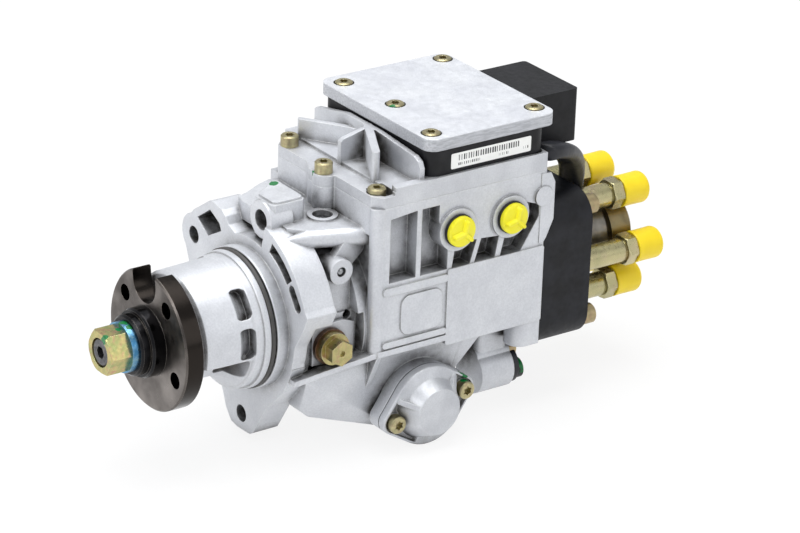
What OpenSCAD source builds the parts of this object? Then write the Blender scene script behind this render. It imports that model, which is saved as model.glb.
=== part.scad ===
// Six-outlet radial-piston distributor injection pump with its control unit on top.
// The shaft axis is Y: the drive hub is at -Y, the outlets at +Y, up is +Z.
// The origin is the centre of the locating pilot, in the plane of the mounting face.

/* [Drive end] */
// Diameter of the hub that carries the drive gear
hub_d = 67.6; // [60:0.1:67.8]
// Thickness of the hub disc
hub_t = 9.8; // [8:0.1:12]
// Radius of the circle that the hub holes lie on
hub_hole_r = 26; // [24:0.5:28]
// Diameter of the threaded hub holes
hub_hole_d = 8; // [6:0.1:9]
// Width of the timing notch in the hub
notch_w = 20; // [14:0.5:22]
// Diameter of the drive shaft in its bush
shaft_d = 24; // [20:0.5:26]
// Diameter of the thread at the shaft end
thread_d = 14; // [12:0.5:16]
// Width across the flats of the shaft nut
nut_af = 19.3; // [18:0.1:22]
// Height of the shaft nut
nut_h = 10.5; // [8:0.5:12]
// Thickness of the spring washer under the nut
washer_t = 3.5; // [2:0.5:4]

/* [Nose and mounting flange] */
// Diameter of the pilot that locates the pump in the engine
pilot_d = 68; // [66:0.5:70]
// Length of the pilot in front of the mounting face
pilot_l = 12; // [12:0.5:14]
// Distance from the mounting face to the front of the nose
nose_l = 43; // [41:0.5:46]
// Gap between the nose and the hub
hub_gap = 2.2; // [1.5:0.1:3]
// Thickness of the mounting flange
flange_t = 16; // [14:0.5:18]
// Radius of the round part of the mounting flange
flange_r = 50; // [48:0.5:51]
// Diameter of the two lug holes
lug_hole_d = 8.5; // [8:0.1:10]
// Distance of the lug holes from the shaft axis
lug_hole_r = 53.8; // [52:0.1:55]

/* [Housing] */
// Half of the width of the box section
box_x = 46; // [45.5:0.1:48]
// Front plane of the box section
box_y0 = 41; // [40:0.5:42]
// Rear plane of the housing, where the head is bolted on
box_y1 = 135.5; // [134:0.5:137]
// Height of the joint between the housing and the control unit base
seam_z = 60.5; // [59.5:0.1:62]
// Lower edge of the box section
box_z0 = -13; // [-15:0.5:-11]
// Radius of the round neck behind the flange
neck_r = 41.5; // [40:0.5:43]
// Height of the ledge in front of the control unit
ledge_z = 48.5; // [47:0.5:50]
// Depth of the cast pockets in the sides
pocket_d = 8; // [6:0.5:9]
// Thickness of the cast ribs
rib_t = 2.6; // [2:0.1:4]

/* [Timing device] */
// Distance of the timing piston axis below the shaft axis
timing_z = 44.5; // [44.5:0.1:46]
// Position of the timing piston axis along the shaft
timing_y = 70; // [69:0.5:71]
// Diameter of the timing piston
timing_d = 24; // [22:0.5:24.5]
// Radius of the cast cylinder around the timing piston
timing_r = 20; // [19:0.5:21]
// Joint plane of the timing covers, from the middle
cover_x = 44; // [43.5:0.5:45]
// Distance between the cover screw and the cover axis
cover_screw_r = 20; // [19.5:0.1:21]

/* [Pumping parts] */
// Outer diameter of the cam ring
cam_od = 62; // [60:0.5:63]
// Inner diameter of the cam ring between its lobes
cam_id = 47; // [46:0.1:48]
// Width of the cam ring
cam_w = 22; // [20:0.5:24]
// Lift of the cam lobes
cam_lift = 3; // [2:0.1:3.2]
// Diameter of the rollers
roller_d = 9; // [8:0.1:9.4]
// Diameter of the pumping plungers
plunger_d = 7; // [6:0.1:7.5]
// Diameter of the vane pump rotor
vane_rotor_d = 34; // [32:0.5:35]
// Bore of the vane pump ring
vane_bore_d = 40; // [39:0.1:41]
// Offset of the vane pump ring
vane_offset = 2; // [1:0.1:2.2]
// Width of the vane pump
vane_w = 14; // [10:0.5:15]

/* [Distributor head] */
// Thickness of the head flange
head_t = 30; // [28:0.5:32]
// Half of the width of the head flange
head_x = 44.6; // [43:0.1:44.8]
// Height of the head flange above the shaft axis
head_up = 41; // [40:0.5:42]
// Depth of the head flange below the shaft axis
head_down = 34.5; // [34:0.5:38]
// Corner radius of the head flange
head_corner = 14; // [12:0.5:16]
// Radius of the circle of the outlets
outlet_r = 28; // [27.5:0.1:29]
// Diameter of the outlet thread
outlet_d = 12; // [11:0.1:12.5]
// Length of an outlet from the head to its hexagon
outlet_l = 35; // [33:0.5:37]
// Width across the flats of the outlet hexagon
outlet_af = 14; // [13.4:0.1:15]
// Diameter of a transport cap
cap_d = 14.8; // [14:0.1:15.5]
// Length of a transport cap
cap_l = 11; // [10:0.5:15]
// Diameter of the valve body in the middle of the head
valve_d = 35; // [32:0.5:37]

/* [Control unit] */
// Width of the lid
lid_w = 91.5; // [88:0.5:92]
// How far the lid stands behind the housing
lid_over = 5.5; // [4:0.5:6]
// Front edge of the lid
lid_y0 = 67.5; // [67:0.5:68.5]
// Thickness of the lid
lid_t = 6; // [5:0.1:7]
// Height of the plastic frame between base and lid
frame_h = 12.8; // [11:0.1:14]
// Height of the base under the plastic frame
base_h = 9.2; // [8.5:0.1:10]
// Height of the base floor between its fins
base_floor_h = 7; // [6.5:0.1:8]
// Height of the front ledge of the base
base_ledge_h = 5.5; // [5:0.1:6]
// Diameter of a screw head
screw_head_d = 8.6; // [8:0.1:9]
// Height of a screw head
screw_head_h = 5.4; // [4.5:0.1:6]

/* [Side ports] */
// Height of the two port plugs
port_z = 42; // [41:0.5:43]
// Position of the first port plug
port_y = 84; // [83:0.5:85]
// Distance between the two port plugs
port_pitch = 30.4; // [29.5:0.1:31]
// Diameter of a port plug
port_d = 15; // [14:0.1:15.5]

/* [Fits] */
// Radial clearance of running fits
run_gap = 0.05; // [0.02:0.01:0.08]
// Gap between pieces that only face each other
face_gap = 0.3; // [0.2:0.05:0.4]

/* [Hidden] */
$fn = 64;

// Planes along the shaft, from the hub to the outlets
hub_back = -nose_l - hub_gap;
hub_front = hub_back - hub_t;
boss_front = hub_front - 7;
collar_front = boss_front - 4.5;
washer_front = collar_front - washer_t;
nut_front = washer_front - nut_h;
head_y0 = box_y1 + 0.5;
head_y1 = head_y0 + head_t;
hex_y0 = head_y1 + outlet_l;
hex_l = 8;
cap_y0 = hex_y0 + hex_l;

// Groove of the pilot and the ring in it
ring_wire = 2.4;
groove_r = pilot_d/2 - 2.8;

// Inside the housing
seal_l = 9;
seal_d = shaft_d + 12;
bush_d = shaft_d + 6;
bush_y0 = -nose_l + seal_l + 4;
bush_y1 = -4;
ring_d = 2*(vane_bore_d/2 + vane_offset + 4);
vane_y0 = 6;
vane_y1 = vane_y0 + vane_w;
plate_t = 6;
plate_y1 = vane_y1 + plate_t;
cam_y0 = timing_y - cam_w/2;
cam_y1 = timing_y + cam_w/2;
cavity_r = cam_od/2 + run_gap;
barrel_r = 20;
stem_r = 9;
spigot_r = 29;
spigot_y0 = cam_y1 + 6;
lobes = 6;
lobe_r = 8;
roller_rest_r = cam_id/2 - cam_lift - roller_d/2 - 0.1;
rotor_head_r = roller_rest_r + 0.8;
rotor_y0 = timing_y - 9;
rotor_y1 = timing_y + 9;
shoe_w = 11;
shoe_l = 14;
shoe_in = 9.3;
sensor_y = 34;
sensor_r = cam_od/2 - 7;
timing_travel = timing_z*sin(8);
piston_l = 40;
timing_fit_r = timing_d/2 + run_gap;

// Lug and screw places
lug_a = [155.4, 264.1];
lug_pos = [for (a = lug_a) [lug_hole_r*cos(a), lug_hole_r*sin(a)]];
top_hole = [5.5, 49.5];
notch_a = 97;
hub_hole_a = [for (a = [-121.4, -43.8, 43.8, 121.4]) notch_a + a];
base_screws = [[-30.5, 41, base_ledge_h], [5, 36.5, base_ledge_h], [37.5, 44, 2.6],
    [-40, box_y1 - 5, 2.6], [40, box_y1 - 5, 2.6]];
lid_y1 = box_y1 + lid_over;
solenoid_y = box_y1 - 6.5;
lid_x1 = box_x - 1;
lid_x0 = lid_x1 - lid_w;
lid_z0 = seam_z + base_h + frame_h;
lid_z1 = lid_z0 + lid_t;
lid_screws = [[lid_x0 + 9, lid_y0 + 8.5], [-2, lid_y0 + 13.5], [lid_x1 - 8.5, lid_y0 + 6.8],
    [lid_x0 + 6.5, lid_y1 - 5.5], [lid_x1 - 10.5, lid_y1 - 6]];
frame_y1 = box_y1;
cover_tilt = 12;
gasket_t = 0.6;
wall_y = lid_y0 - 3.5;
wall_z = lid_z0 - 0.8;
cover_end_r = 6.2;
solenoid = [26, -46];
solenoid_screw_pos = [27, -38];
lock_y = 20.3;
lock_z = -6;
lock_face = 34;

// Shapes laid out along an axis
module ycyl(r, y0, y1, x = 0, z = 0) translate([x, y0, z]) rotate([-90, 0, 0]) cylinder(r = r, h = y1 - y0);
module xcyl(r, x0, x1, y = 0, z = 0) translate([x0, y, z]) rotate([0, 90, 0]) cylinder(r = r, h = x1 - x0);
module zcyl(r, z0, z1, x = 0, y = 0) translate([x, y, z0]) cylinder(r = r, h = z1 - z0);
module ycone(r0, r1, y0, y1, x = 0, z = 0)
    translate([x, y0, z]) rotate([-90, 0, 0]) cylinder(r1 = r0, r2 = r1, h = y1 - y0);
module xcone(r0, r1, x0, x1, y = 0, z = 0)
    translate([x0, y, z]) rotate([0, 90, 0]) cylinder(r1 = r0, r2 = r1, h = x1 - x0);
module block(lo, hi) translate(lo) cube(hi - lo);
module yturn() rotate([-90, 0, 0]) rotate_extrude() children();
module yplate(y0, y1) translate([0, y1, 0]) rotate([90, 0, 0]) linear_extrude(y1 - y0) children();
module xplate(x0, x1) translate([x0, 0, 0]) rotate([90, 0, 90]) linear_extrude(x1 - x0) children();
module zplate(z0, z1) translate([0, 0, z0]) linear_extrude(z1 - z0) children();
module yhex(af, y0, y1, x = 0, z = 0)
    translate([x, y0, z]) rotate([-90, 0, 0]) cylinder(r = af/sqrt(3), h = y1 - y0, $fn = 6);

// A rectangle with round corners, from its low corner to its high corner
module round_rect(lo, hi, r) {
    translate([lo.x + r, lo.y]) square([hi.x - lo.x - 2*r, hi.y - lo.y]);
    translate([lo.x, lo.y + r]) square([hi.x - lo.x, hi.y - lo.y - 2*r]);
    for (x = [lo.x + r, hi.x - r])
        for (y = [lo.y + r, hi.y - r])
            translate([x, y]) circle(r);
}

// The outline around two circles. Its straight sides lie a hair inside the tangents, so that they cross the circles
module link(p, q, rp, rq) {
    d = norm(q - p);
    a = atan2(q.y - p.y, q.x - p.x);
    b = acos((rp - rq)/d);
    u = [cos(a + b), sin(a + b)];
    v = [cos(a - b), sin(a - b)];
    polygon([p + (rp - 0.04)*u, q + (rq - 0.04)*u, q + (rq - 0.04)*v, p + (rp - 0.04)*v]);
    translate(p) circle(rp);
    translate(q) circle(rq);
}

// The six outlets stand at equal angles, the first one at 58 degrees
module at_outlets() for (i = [0:5]) rotate([0, -(58 + 60*i), 0]) translate([outlet_r, 0, 0]) children();

// A screw with a round head and a six-lobed socket, head up, its seat at z = 0
module torx_screw(head_d, head_h, d, l) {
    difference() {
        union() {
            zcyl(head_d/2, 0, head_h - 0.6);
            translate([0, 0, head_h - 0.6]) cylinder(r1 = head_d/2, r2 = head_d/2 - 0.6, h = 0.6);
            zcyl(d/2, -l, 0);
        }
        zcyl(0.21*head_d, head_h - 2.4, head_h + 1);
        for (a = [0:60:300]) rotate(a) zcyl(0.055*head_d, head_h - 2.4, head_h + 1, 0.22*head_d);
    }
}

// Outline of the mounting flange, seen from the drive end with X to the right
module flange_outline() {
    circle(neck_r - 3);
    intersection() {
        circle(flange_r);
        polygon([[0, 0], 80*[cos(22), sin(22)], 80*[cos(45), sin(45)], 80*[cos(76), sin(76)]]);
    }
    polygon([[0, 0], [36.7, -13.7], [36.5, -8.7], [39, -1.6], [44.8, 8.3], [48.6, 16.5],
        flange_r*[cos(22), sin(22)], [20, 30]]);
    intersection() {
        circle(flange_r - 3);
        polygon([[0, 0], 80*[cos(160), sin(160)], 80*[cos(200), sin(200)], 80*[cos(240), sin(240)]]);
    }
    // Left lug with its flat shoulder
    link([-25, 20], lug_pos[0], 16, 10.5);
    polygon([[0, 0], [-50, 0], [-57.6, 18], [-57, 26.8], [-49.4, 35.1], [-35.5, 44.6], [-33.5, 45.1],
        [-24.6, 43.8], [-21.5, 41.8], [-18.7, 38.3], [-12.9, 36.3]]);
}

// Outline of the thinner lower lug
module lower_lug() {
    polygon([[0, 0], [-30, -30], [-21.2, -49.7], [-18.9, -55.5], [-14.3, -60.9], [-9, -61.8], [-1.8, -61.6],
        [2.2, -61.2], [4.7, -59.6], [13.6, -45.6], [16.4, -41], [23.3, -34.6], [29.9, -28.3], [37, -14]]);
}

module nose() {
    r = pilot_d/2;
    yturn() polygon([[0, 3], [r, 3], [r, -5.6], [r - 0.4, -6], [groove_r, -6], [groove_r, -9], [r - 1, -9],
        [r - 1, -pilot_l + 0.4], [r - 1.4, -pilot_l], [r - 2.2, -pilot_l], [r - 2.2, -pilot_l - 4],
        [r - 3, -pilot_l - 5], [r - 3.8, -nose_l + 1.5], [r - 5.3, -nose_l], [0, -nose_l]]);
}

// Cast pockets around the nose, between the ribs that carry its front ring
module nose_pockets() {
    for (a = [39, 3, 128, 190]) rotate([0, -a, 0]) intersection() {
        yturn() polygon([[pilot_d/2 - 8.5, -pilot_l - 4.2], [pilot_d/2 + 2, -pilot_l - 4.2], [pilot_d/2 + 2, -pilot_l - 12],
            [pilot_d/2 - 3.4, -pilot_l - 12], [pilot_d/2 - 7, -pilot_l - 8]]);
        translate([0, -pilot_l - 8, 0]) rotate([0, 90, 0]) linear_extrude(40) round_rect([-7.5, -4.6], [7.5, 4], 3);
    }
    // Below, the nose is cut back to the seal seat, with a sloping shoulder
    intersection() {
        yturn() polygon([[seal_d/2 + 5, -nose_l - 1], [pilot_d/2 + 6, -nose_l - 1], [pilot_d/2 + 6, -pilot_l - 5],
            [pilot_d/2 - 3.4, -pilot_l - 5], [seal_d/2 + 5, -pilot_l - 12.5]]);
        yplate(-nose_l - 2, -pilot_l) polygon([[0, 0], 60*[cos(-13), sin(-13)], 60*[cos(-45), sin(-45)],
            60*[cos(-90), sin(-90)], 60*[cos(-135), sin(-135)], 60*[cos(-158), sin(-158)]]);
    }
    rotate([0, 27, 0]) translate([0, -pilot_l - 12.5, 0]) rotate([0, 90, 0]) linear_extrude(40)
        round_rect([-7.5, -7], [7.5, 7], 4);
    rotate([0, 20, 0]) xcyl(1.6, 20, 40, -nose_l + 6, 0);
}

module flange_pockets() {
    // Five-sided pocket beside the left lug hole
    yplate(-1, 9) polygon([[-46, 32.5], [-35, 40.3], [-26.5, 36.5], [-25, 33], [-36.7, 26.3]]);
    // Curved pocket and oval pocket on the right
    yplate(-1, 7) intersection() {
        difference() {
            circle(46.5);
            circle(41);
        }
        polygon([[0, 0], 70*[cos(41), sin(41)], 70*[cos(67), sin(67)]]);
    }
    yplate(-1, 5) link([35.4, 25.6], [40.2, 19], 2.6, 2.6);
}

// The box section with the joint face for the control unit
module box_outline() {
    polygon([[-34, 37], [-10, 37], [-2, 33], [5, 33], [12, 38.5], [41, 38.5], [box_x, 43],
        [box_x, box_y1], [-box_x, box_y1], [-box_x, 50]]);
    translate([5, 38]) circle(6.5);
}

// A round bar between two points at one height, with a tapered start
module rod(p, q, z, r, taper) translate([p.x, p.y, z]) rotate([0, 90, atan2(q.y - p.y, q.x - p.x)]) {
    cylinder(r = r, h = norm(q - p));
    translate([0, 0, -taper]) cylinder(r1 = 0.3*r, r2 = r, h = taper);
}

module housing_outside() {
    nose();
    yplate(0, flange_t) flange_outline();
    yplate(0, flange_t - 2) lower_lug();
    ycyl(neck_r, flange_t - 2, box_y0 + 4);
    // Top boss with the third mounting hole
    ycyl(9, 2, 14, top_hole.x, top_hole.y);
    zplate(40, 58.5) polygon([[-2, 3.5], [11.5, 3.5], [13, 5], [13, 20], [11.5, 21.5], [-10.6, 21.5], [-12, 19], [-7.5, 12]]);
    zplate(40, 59.6) polygon([[-1, 5], [10.5, 5], [12, 6.5], [12, 19.5], [10.5, 20.8], [-9.5, 20.8], [-11, 18.8], [-6.5, 12.6]]);
    // Ledge between the flange and the control unit, with its round edge
    zplate(39.5, ledge_z) polygon([[-34, 45], [-35.6, 33], [-32.9, 25.4], [-27.7, 15.9], [-25.4, 9.5], [-20, 8], [18, 8],
        [24.8, 14.5], [34.8, 43], [30, 45]]);
    rod([24.8, 15.5], [34.8, 43], ledge_z - 4.5, 4.5, 10);
    zcyl(7.2, ledge_z - 1, ledge_z + 1.2, 14.5, 30);
    // Box section
    zplate(ledge_z - 2, seam_z) box_outline();
    block([-box_x, box_y0, box_z0], [box_x, box_y1, ledge_z]);
    zcyl(4, box_z0, seam_z, box_x - 3.7, box_y0 + 1);
    // Rear corners that carry the head bolts
    for (s = [-1, 1]) {
        zcyl(7, -29, 57, s*(box_x - 7), box_y1 - 7);
        block([s*(box_x - 7) - 7, box_y1 - 7, -29], [s*(box_x - 7) + 7, box_y1, 57]);
    }
    // Lip beside the head flange
    xplate(box_x - 1, box_x + 0.4) polygon([[box_y1 - 3, seam_z - 1], [box_y1 + 2.5, seam_z - 1.5], [box_y1 + 5, 54],
        [box_y1 + 5, 35], [box_y1 + 1, 26], [box_y1 - 0.5, 24], [box_y1 - 3, 24]]);
    // Machined pad and its neighbours on the right side
    xplate(box_x - 2, box_x + 0.8) round_rect([79.5, -16.5], [box_y1, 22.5], 1.2);
    xplate(box_x - 2, box_x + 0.7) round_rect([53.5, -5.5], [77, 14.5], 5);
    xplate(box_x - 2, box_x + 1) link([45, -8.5], [78, -8.5], 1.6, 1.6);
    xplate(box_x - 2, box_x + 1) link([45, 18.5], [78, 18.5], 2, 2);
    // Belly, from the flange down to the timing cylinder
    xcyl(timing_r - 0.6, -cover_x + 1, cover_x - 1, timing_y, -timing_z);
    for (s = [-1, 1]) cover_plate(s*(cover_x - 3.5) - 3.5, s*(cover_x - 3.5) + 3.5);
    belly();
    // Column of the timing solenoid
    zplate(-55, box_z0 + 2) round_rect([15, solenoid_y - 19], [31.5, solenoid_y], 4);
    ycyl(11, solenoid_y - 19, solenoid_y, solenoid.x, solenoid.y);
    ycyl(5.5, solenoid_y - 19, solenoid_y, solenoid_screw_pos.x, solenoid_screw_pos.y);
    // Cast passages under the right side
    translate([28.5, 24, -34.2]) rotate([-90 - 16.5, 0, 0]) cylinder(r = 3.9, h = 38);
    xcyl(5, 20, 31, 25, -34.6);
}

module belly() {
    hull() {
        block([-37, flange_t - 8, -22], [37, flange_t - 2, -12]);
        xcyl(10, -27, 27, 21, -37);
        xcyl(18, -33, 33, timing_y, -timing_z);
        block([-38, timing_y, -20], [38, timing_y + 26, -10]);
    }
    hull() {
        block([-36, timing_y, -20], [36, timing_y + 40, -10]);
        xcyl(8, -22, 22, timing_y + 30, -36);
        xcyl(16, -30, 30, timing_y, -timing_z);
    }
}

// The two screw places of a timing cover, in the YZ plane
cover_places = [for (t = [-1, 1]) [timing_y + t*cover_screw_r*cos(cover_tilt), -timing_z + t*cover_screw_r*sin(cover_tilt)]];

// Plate with the rhombic outline of the timing covers
module cover_plate(x0, x1) {
    xcyl(timing_r, x0, x1, timing_y, -timing_z);
    for (p = cover_places) xcyl(cover_end_r, x0, x1, p.x, p.y);
    b = acos((timing_r - cover_end_r)/cover_screw_r);
    u = [cos(b), sin(b)];
    v = [cos(b), -sin(b)];
    q = [cover_screw_r, 0];
    t = timing_r - 0.05;
    e = cover_end_r - 0.05;
    xplate(x0, x1) translate([timing_y, -timing_z]) rotate(cover_tilt)
        polygon([t*u, q + e*u, q + e*v, t*v, -t*u, -q - e*u, -q - e*v, -t*v]);
}

module side_pockets() {
    z0 = 22.5;
    z1 = 56;
    // Windows beside the front corner post
    xplate(box_x - pocket_d, box_x + 5) {
        polygon([[46.5, z0], [61.5, z0], [61.5, z1], [46.5, z1 - 1.5]]);
        polygon([[61.5 + rib_t, z0], [79.5, z0], [79.5, 32], [74, z1 - 8], [74, z1], [61.5 + rib_t, z1]]);
    }
    // Pockets under and between the two port bosses
    xplate(box_x - pocket_d, box_x + 5) {
        polygon([[82, z0], [92.5, z0], [96, 34], [84, 36]]);
        polygon([[95, z0], [107, z0], [109, 33], [98.5, 34]]);
        polygon([[110, z0], [122, z0], [132, 38], [132, 44], [124, 47], [124, 35], [112, 31]]);
    }
    // Recess behind the flange, with a deeper floor around the locking bolt
    block([33, flange_t, 8], [60, 33.5, 39.5]);
    block([lock_face, 7, -19], [60, 36.5, 8.5]);
    // The hidden side has three plain windows
    for (y = [50, 78, 106]) block([-box_x - 5, y, -4], [-box_x + pocket_d - 2, y + 24, 50]);
}

module side_ribs() {
    // Lower rib from the flange along the whole side
    hull() {
        block([30, 1, -22.3], [38, 4, -19.8]);
        block([30, 16, -18.3], [42, 18, -15.8]);
        block([30, box_y0, -14], [box_x, box_y0 + 3, -11.5]);
    }
    block([36, box_y0, -14], [box_x + 0.8, 80, -11]);
    // Web that runs down from the corner post
    yplate(box_y0 + 1, box_y0 + 1 + rib_t) polygon([[20, -12], [box_x, -12], [34, -38], [20, -38]]);
    // Port bosses
    for (i = [0, 1]) xcyl(port_d/2 + 3, box_x - pocket_d - 1, box_x + 1.6, port_y + i*port_pitch, port_z);
    xcyl(5, box_x - pocket_d, box_x + 1.2, box_y1 - 1.5, port_z + 6);
    // Boss of the sealed gallery between flange and corner post
    xcone(7.2, 6.2, 22, 38.5, 25, 30.5);
    xplate(30, 34.5) link([25, 30.5], [34, 40], 5, 6);
}

module housing_bores() {
    // Shaft, seal and bush
    ycyl(shaft_d/2 + 0.5, -nose_l - 1, vane_y0);
    ycyl(seal_d/2, -nose_l - 1, -nose_l + seal_l);
    ycyl(bush_d/2, bush_y0, bush_y1);
    // Feed pump, sensor room, cam room and the seat of the head
    ycyl(ring_d/2, vane_y0, plate_y1 + 3);
    ycyl(cavity_r, plate_y1, cam_y1 + 4);
    ycyl(spigot_r, cam_y1, box_y1 + 1);
    // Mounting holes
    for (p = lug_pos) ycyl(lug_hole_d/2, -1, flange_t + 1, p.x, p.y);
    ycyl(5, 0, 15, top_hole.x, top_hole.y);
    // Timing cylinder and the slot for the pin of the cam ring
    xcyl(timing_fit_r, -cover_x - 1, cover_x + 1, timing_y, -timing_z);
    block([-timing_travel - 5, timing_y - 4.6, -timing_z], [timing_travel + 5, timing_y + 4.6, 0]);
    for (s = [-1, 1])
        for (p = cover_places) xcyl(2.5, s*cover_x - 12, s*cover_x + 12, p.x, p.y);
    // Screw holes of the control unit
    for (p = base_screws) zcyl(2.5, seam_z - 12, seam_z + 1, p.x, p.y);
    // Ports, gallery plugs, locking bolt and timing solenoid
    for (i = [0, 1]) xcyl(5.5, box_x - 14, box_x + 3, port_y + i*port_pitch, port_z);
    xcyl(2.4, 33, 40, 25, 30.5);
    zcyl(4.9, ledge_z - 7, ledge_z + 3, 14.5, 30);
    xcyl(4, ring_d/2 - 2, lock_face + 1, lock_y, lock_z);
    xcyl(2.2, 26, lock_face + 1, 31.5, 6);
    xcyl(3, 26, lock_face + 1, 13.5, -17);
    ycyl(5, solenoid_y - 13, solenoid_y + 1, solenoid.x, solenoid.y);
    ycyl(2.5, solenoid_y - 11, solenoid_y + 1, solenoid_screw_pos.x, solenoid_screw_pos.y);
    for (p = head_bolt_places) ycyl(3, box_y1 - 12, box_y1 + 1, p.x, p.y);
}

head_bolt_places = [[-36, 32.5], [36, 32.5], [-38.5, -24.5], [38.5, -24.5]];

module housing() color("silver") difference() {
    union() {
        difference() {
            housing_outside();
            side_pockets();
        }
        side_ribs();
    }
    nose_pockets();
    flange_pockets();
    housing_bores();
}

module shaft_seal() color("dimgray") yturn()
    polygon([[shaft_d/2 + run_gap, -nose_l + 0.5], [seal_d/2, -nose_l + 0.5], [seal_d/2, -nose_l + seal_l],
        [seal_d/2 - 1.5, -nose_l + seal_l], [seal_d/2 - 1.5, -nose_l + 3], [shaft_d/2 + 2, -nose_l + 3],
        [shaft_d/2 + 1.5, -nose_l + seal_l - 2], [shaft_d/2 + run_gap, -nose_l + seal_l - 3]]);

module front_bush() color("darkgoldenrod") difference() {
    ycyl(bush_d/2, bush_y0, bush_y1);
    ycyl(shaft_d/2 + run_gap, bush_y0 - 1, bush_y1 + 1);
}

module pilot_ring() color("#4a4440") yturn() translate([groove_r + ring_wire/2 + run_gap, -7.5]) circle(ring_wire/2, $fn = 24);

module vane_ring() color("slategray") difference() {
    ycyl(ring_d/2, vane_y0, vane_y1);
    ycyl(vane_bore_d/2, vane_y0 - 1, vane_y1 + 1, vane_offset, 0);
}

module pump_plate() color("slategray") difference() {
    ycyl(ring_d/2, vane_y1, plate_y1);
    ycyl(shaft_d/2 + run_gap, vane_y1 - 1, plate_y1 + 1);
    // Kidney ports
    for (s = [-1, 1]) yplate(vane_y1 - 1, plate_y1 + 1) intersection() {
        difference() {
            circle(vane_rotor_d/2 + 1);
            circle(vane_rotor_d/2 - 2.5);
        }
        polygon([[0, 0], 30*[cos(s*90 - 50), sin(s*90 - 50)], 30*[cos(s*90), sin(s*90)], 30*[cos(s*90 + 50), sin(s*90 + 50)]]);
    }
}

module timing_gasket() color("#565a5c") difference() {
    cover_plate(cover_x, cover_x + gasket_t);
    xcyl(timing_d/2, cover_x - 1, cover_x + 1, timing_y, -timing_z);
    for (p = cover_places) xcyl(2.7, cover_x - 1, cover_x + 1, p.x, p.y);
}

// Stepped cover with a screw pocket on each side
module cover_shape(x0, flange_h, height) {
    c = [timing_y, -timing_z];
    difference() {
        union() {
            cover_plate(x0, x0 + flange_h);
            xcone(timing_r - 1.5, timing_r - 4.5, x0 + flange_h, x0 + 0.6*height, c.x, c.y);
            xcyl(11.5, x0 + flange_h, x0 + height, c.x, c.y);
            for (t = [-1, 1]) translate([x0, c.x, c.y]) rotate([cover_tilt, 0, 0])
                block([0, min(0, t*14), -6.5], [0.62*height, max(0, t*14), 6.5]);
        }
        xcyl(timing_d/2 - 1, x0 - 1, x0 + 0.5*height, c.x, c.y);
        for (p = cover_places) {
            xcyl(2.7, x0 - 1, x0 + height, p.x, p.y);
            xcyl(screw_head_d/2 + 0.8, x0 + flange_h - 1, x0 + height, p.x, p.y);
        }
    }
}

module timing_cover() color("gainsboro") cover_shape(cover_x + gasket_t, 4, 13);

module back_cover() color("gainsboro") mirror([1, 0, 0]) cover_shape(cover_x, 4, 9);

module cover_screws() color("khaki") for (s = [-1, 1])
    for (p = cover_places)
        translate([s*(cover_x + 3 + (s > 0 ? gasket_t : 0)), p.x, p.y]) rotate([0, s*90, 0]) torx_screw(screw_head_d, 5, 5, 12);

module head_flange() color("#202024") difference() {
    union() {
        yplate(head_y0, head_y1) intersection() {
            round_rect([-head_x, -head_down], [head_x, head_up], head_corner);
            circle(60);
        }
        ycyl(spigot_r, spigot_y0, head_y0);
    }
    ycyl(barrel_r, spigot_y0 - 1, head_y1 - 8);
    ycyl(stem_r + 2, head_y1 - 9, head_y1 + 1);
    at_outlets() ycyl(outlet_d/2, head_y1 - 16, head_y1 + 1);
    at_outlets() ycyl(1, head_y0 + 6, head_y1 - 15);
    for (p = head_bolt_places) ycyl(3.3, head_y0 - 1, head_y1 + 1, p.x, p.y);
}

module barrel() color("lightsteelblue") difference() {
    ycyl(barrel_r, spigot_y0, head_y1 - 8);
    ycyl(stem_r + run_gap, spigot_y0 - 1, head_y1);
    for (i = [0:5]) rotate([0, -(58 + 60*i), 0]) xcyl(1, stem_r - 1, barrel_r + 1, head_y0 + 8, 0);
}

module head_bolts() color("khaki") for (p = head_bolt_places)
    translate([p.x, head_y1, p.y]) rotate([-90, 0, 0]) torx_screw(10, 7, 6, head_t + 10);

module outlet_holders() color("#cfc6a0") at_outlets() difference() {
    union() {
        ycyl(outlet_d/2, head_y1 - 16, hex_y0);
        intersection() {
            yhex(outlet_af, hex_y0, cap_y0);
            ycone(outlet_af/2 + 2.6, outlet_af/2 - 0.3, hex_y0 - 4, cap_y0 + 4);
        }
        ycyl(outlet_d/2, cap_y0, cap_y0 + cap_l - 3);
    }
    ycyl(1.2, head_y1 - 17, cap_y0 + cap_l);
    ycyl(3, head_y1 - 12, hex_y0 - 10);
    ycone(1.2, 3.6, cap_y0 + cap_l - 6, cap_y0 + cap_l - 3);
}

module outlet_caps() color("#f0dc20") at_outlets() difference() {
    union() {
        ycyl(cap_d/2, cap_y0 + 0.2, cap_y0 + cap_l - 1.2);
        ycone(cap_d/2, cap_d/2 - 1.2, cap_y0 + cap_l - 1.2, cap_y0 + cap_l);
    }
    ycyl(outlet_d/2 + run_gap, cap_y0 - 1, cap_y0 + cap_l - 2.9);
}

module delivery_valves() color("lightsteelblue") at_outlets() difference() {
    union() {
        ycyl(3 - run_gap, head_y1 - 11.7, head_y1 - 6);
        ycyl(1.6, head_y1 - 6, head_y1 - 1);
    }
    ycyl(0.7, head_y1 - 12, head_y1 - 4);
}

// A coil spring drawn as a sleeve with one groove between each pair of coils
module spring_sleeve(r, wire, l, turns) {
    p = l/turns;
    yturn() polygon(concat([[r - wire/2, 0]],
        [for (i = [0:turns - 1]) each [[r + wire/2, i*p], [r + wire/2, i*p + wire], [r - 0.1*wire, i*p + wire + 0.2*(p - wire)],
            [r - 0.1*wire, (i + 1)*p - 0.2*(p - wire)]]],
        [[r - wire/2, l]]));
}

module delivery_springs() color("gray") at_outlets() translate([0, head_y1 - 5.9, 0])
    spring_sleeve(2.3, 0.7, 18, 7);

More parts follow.
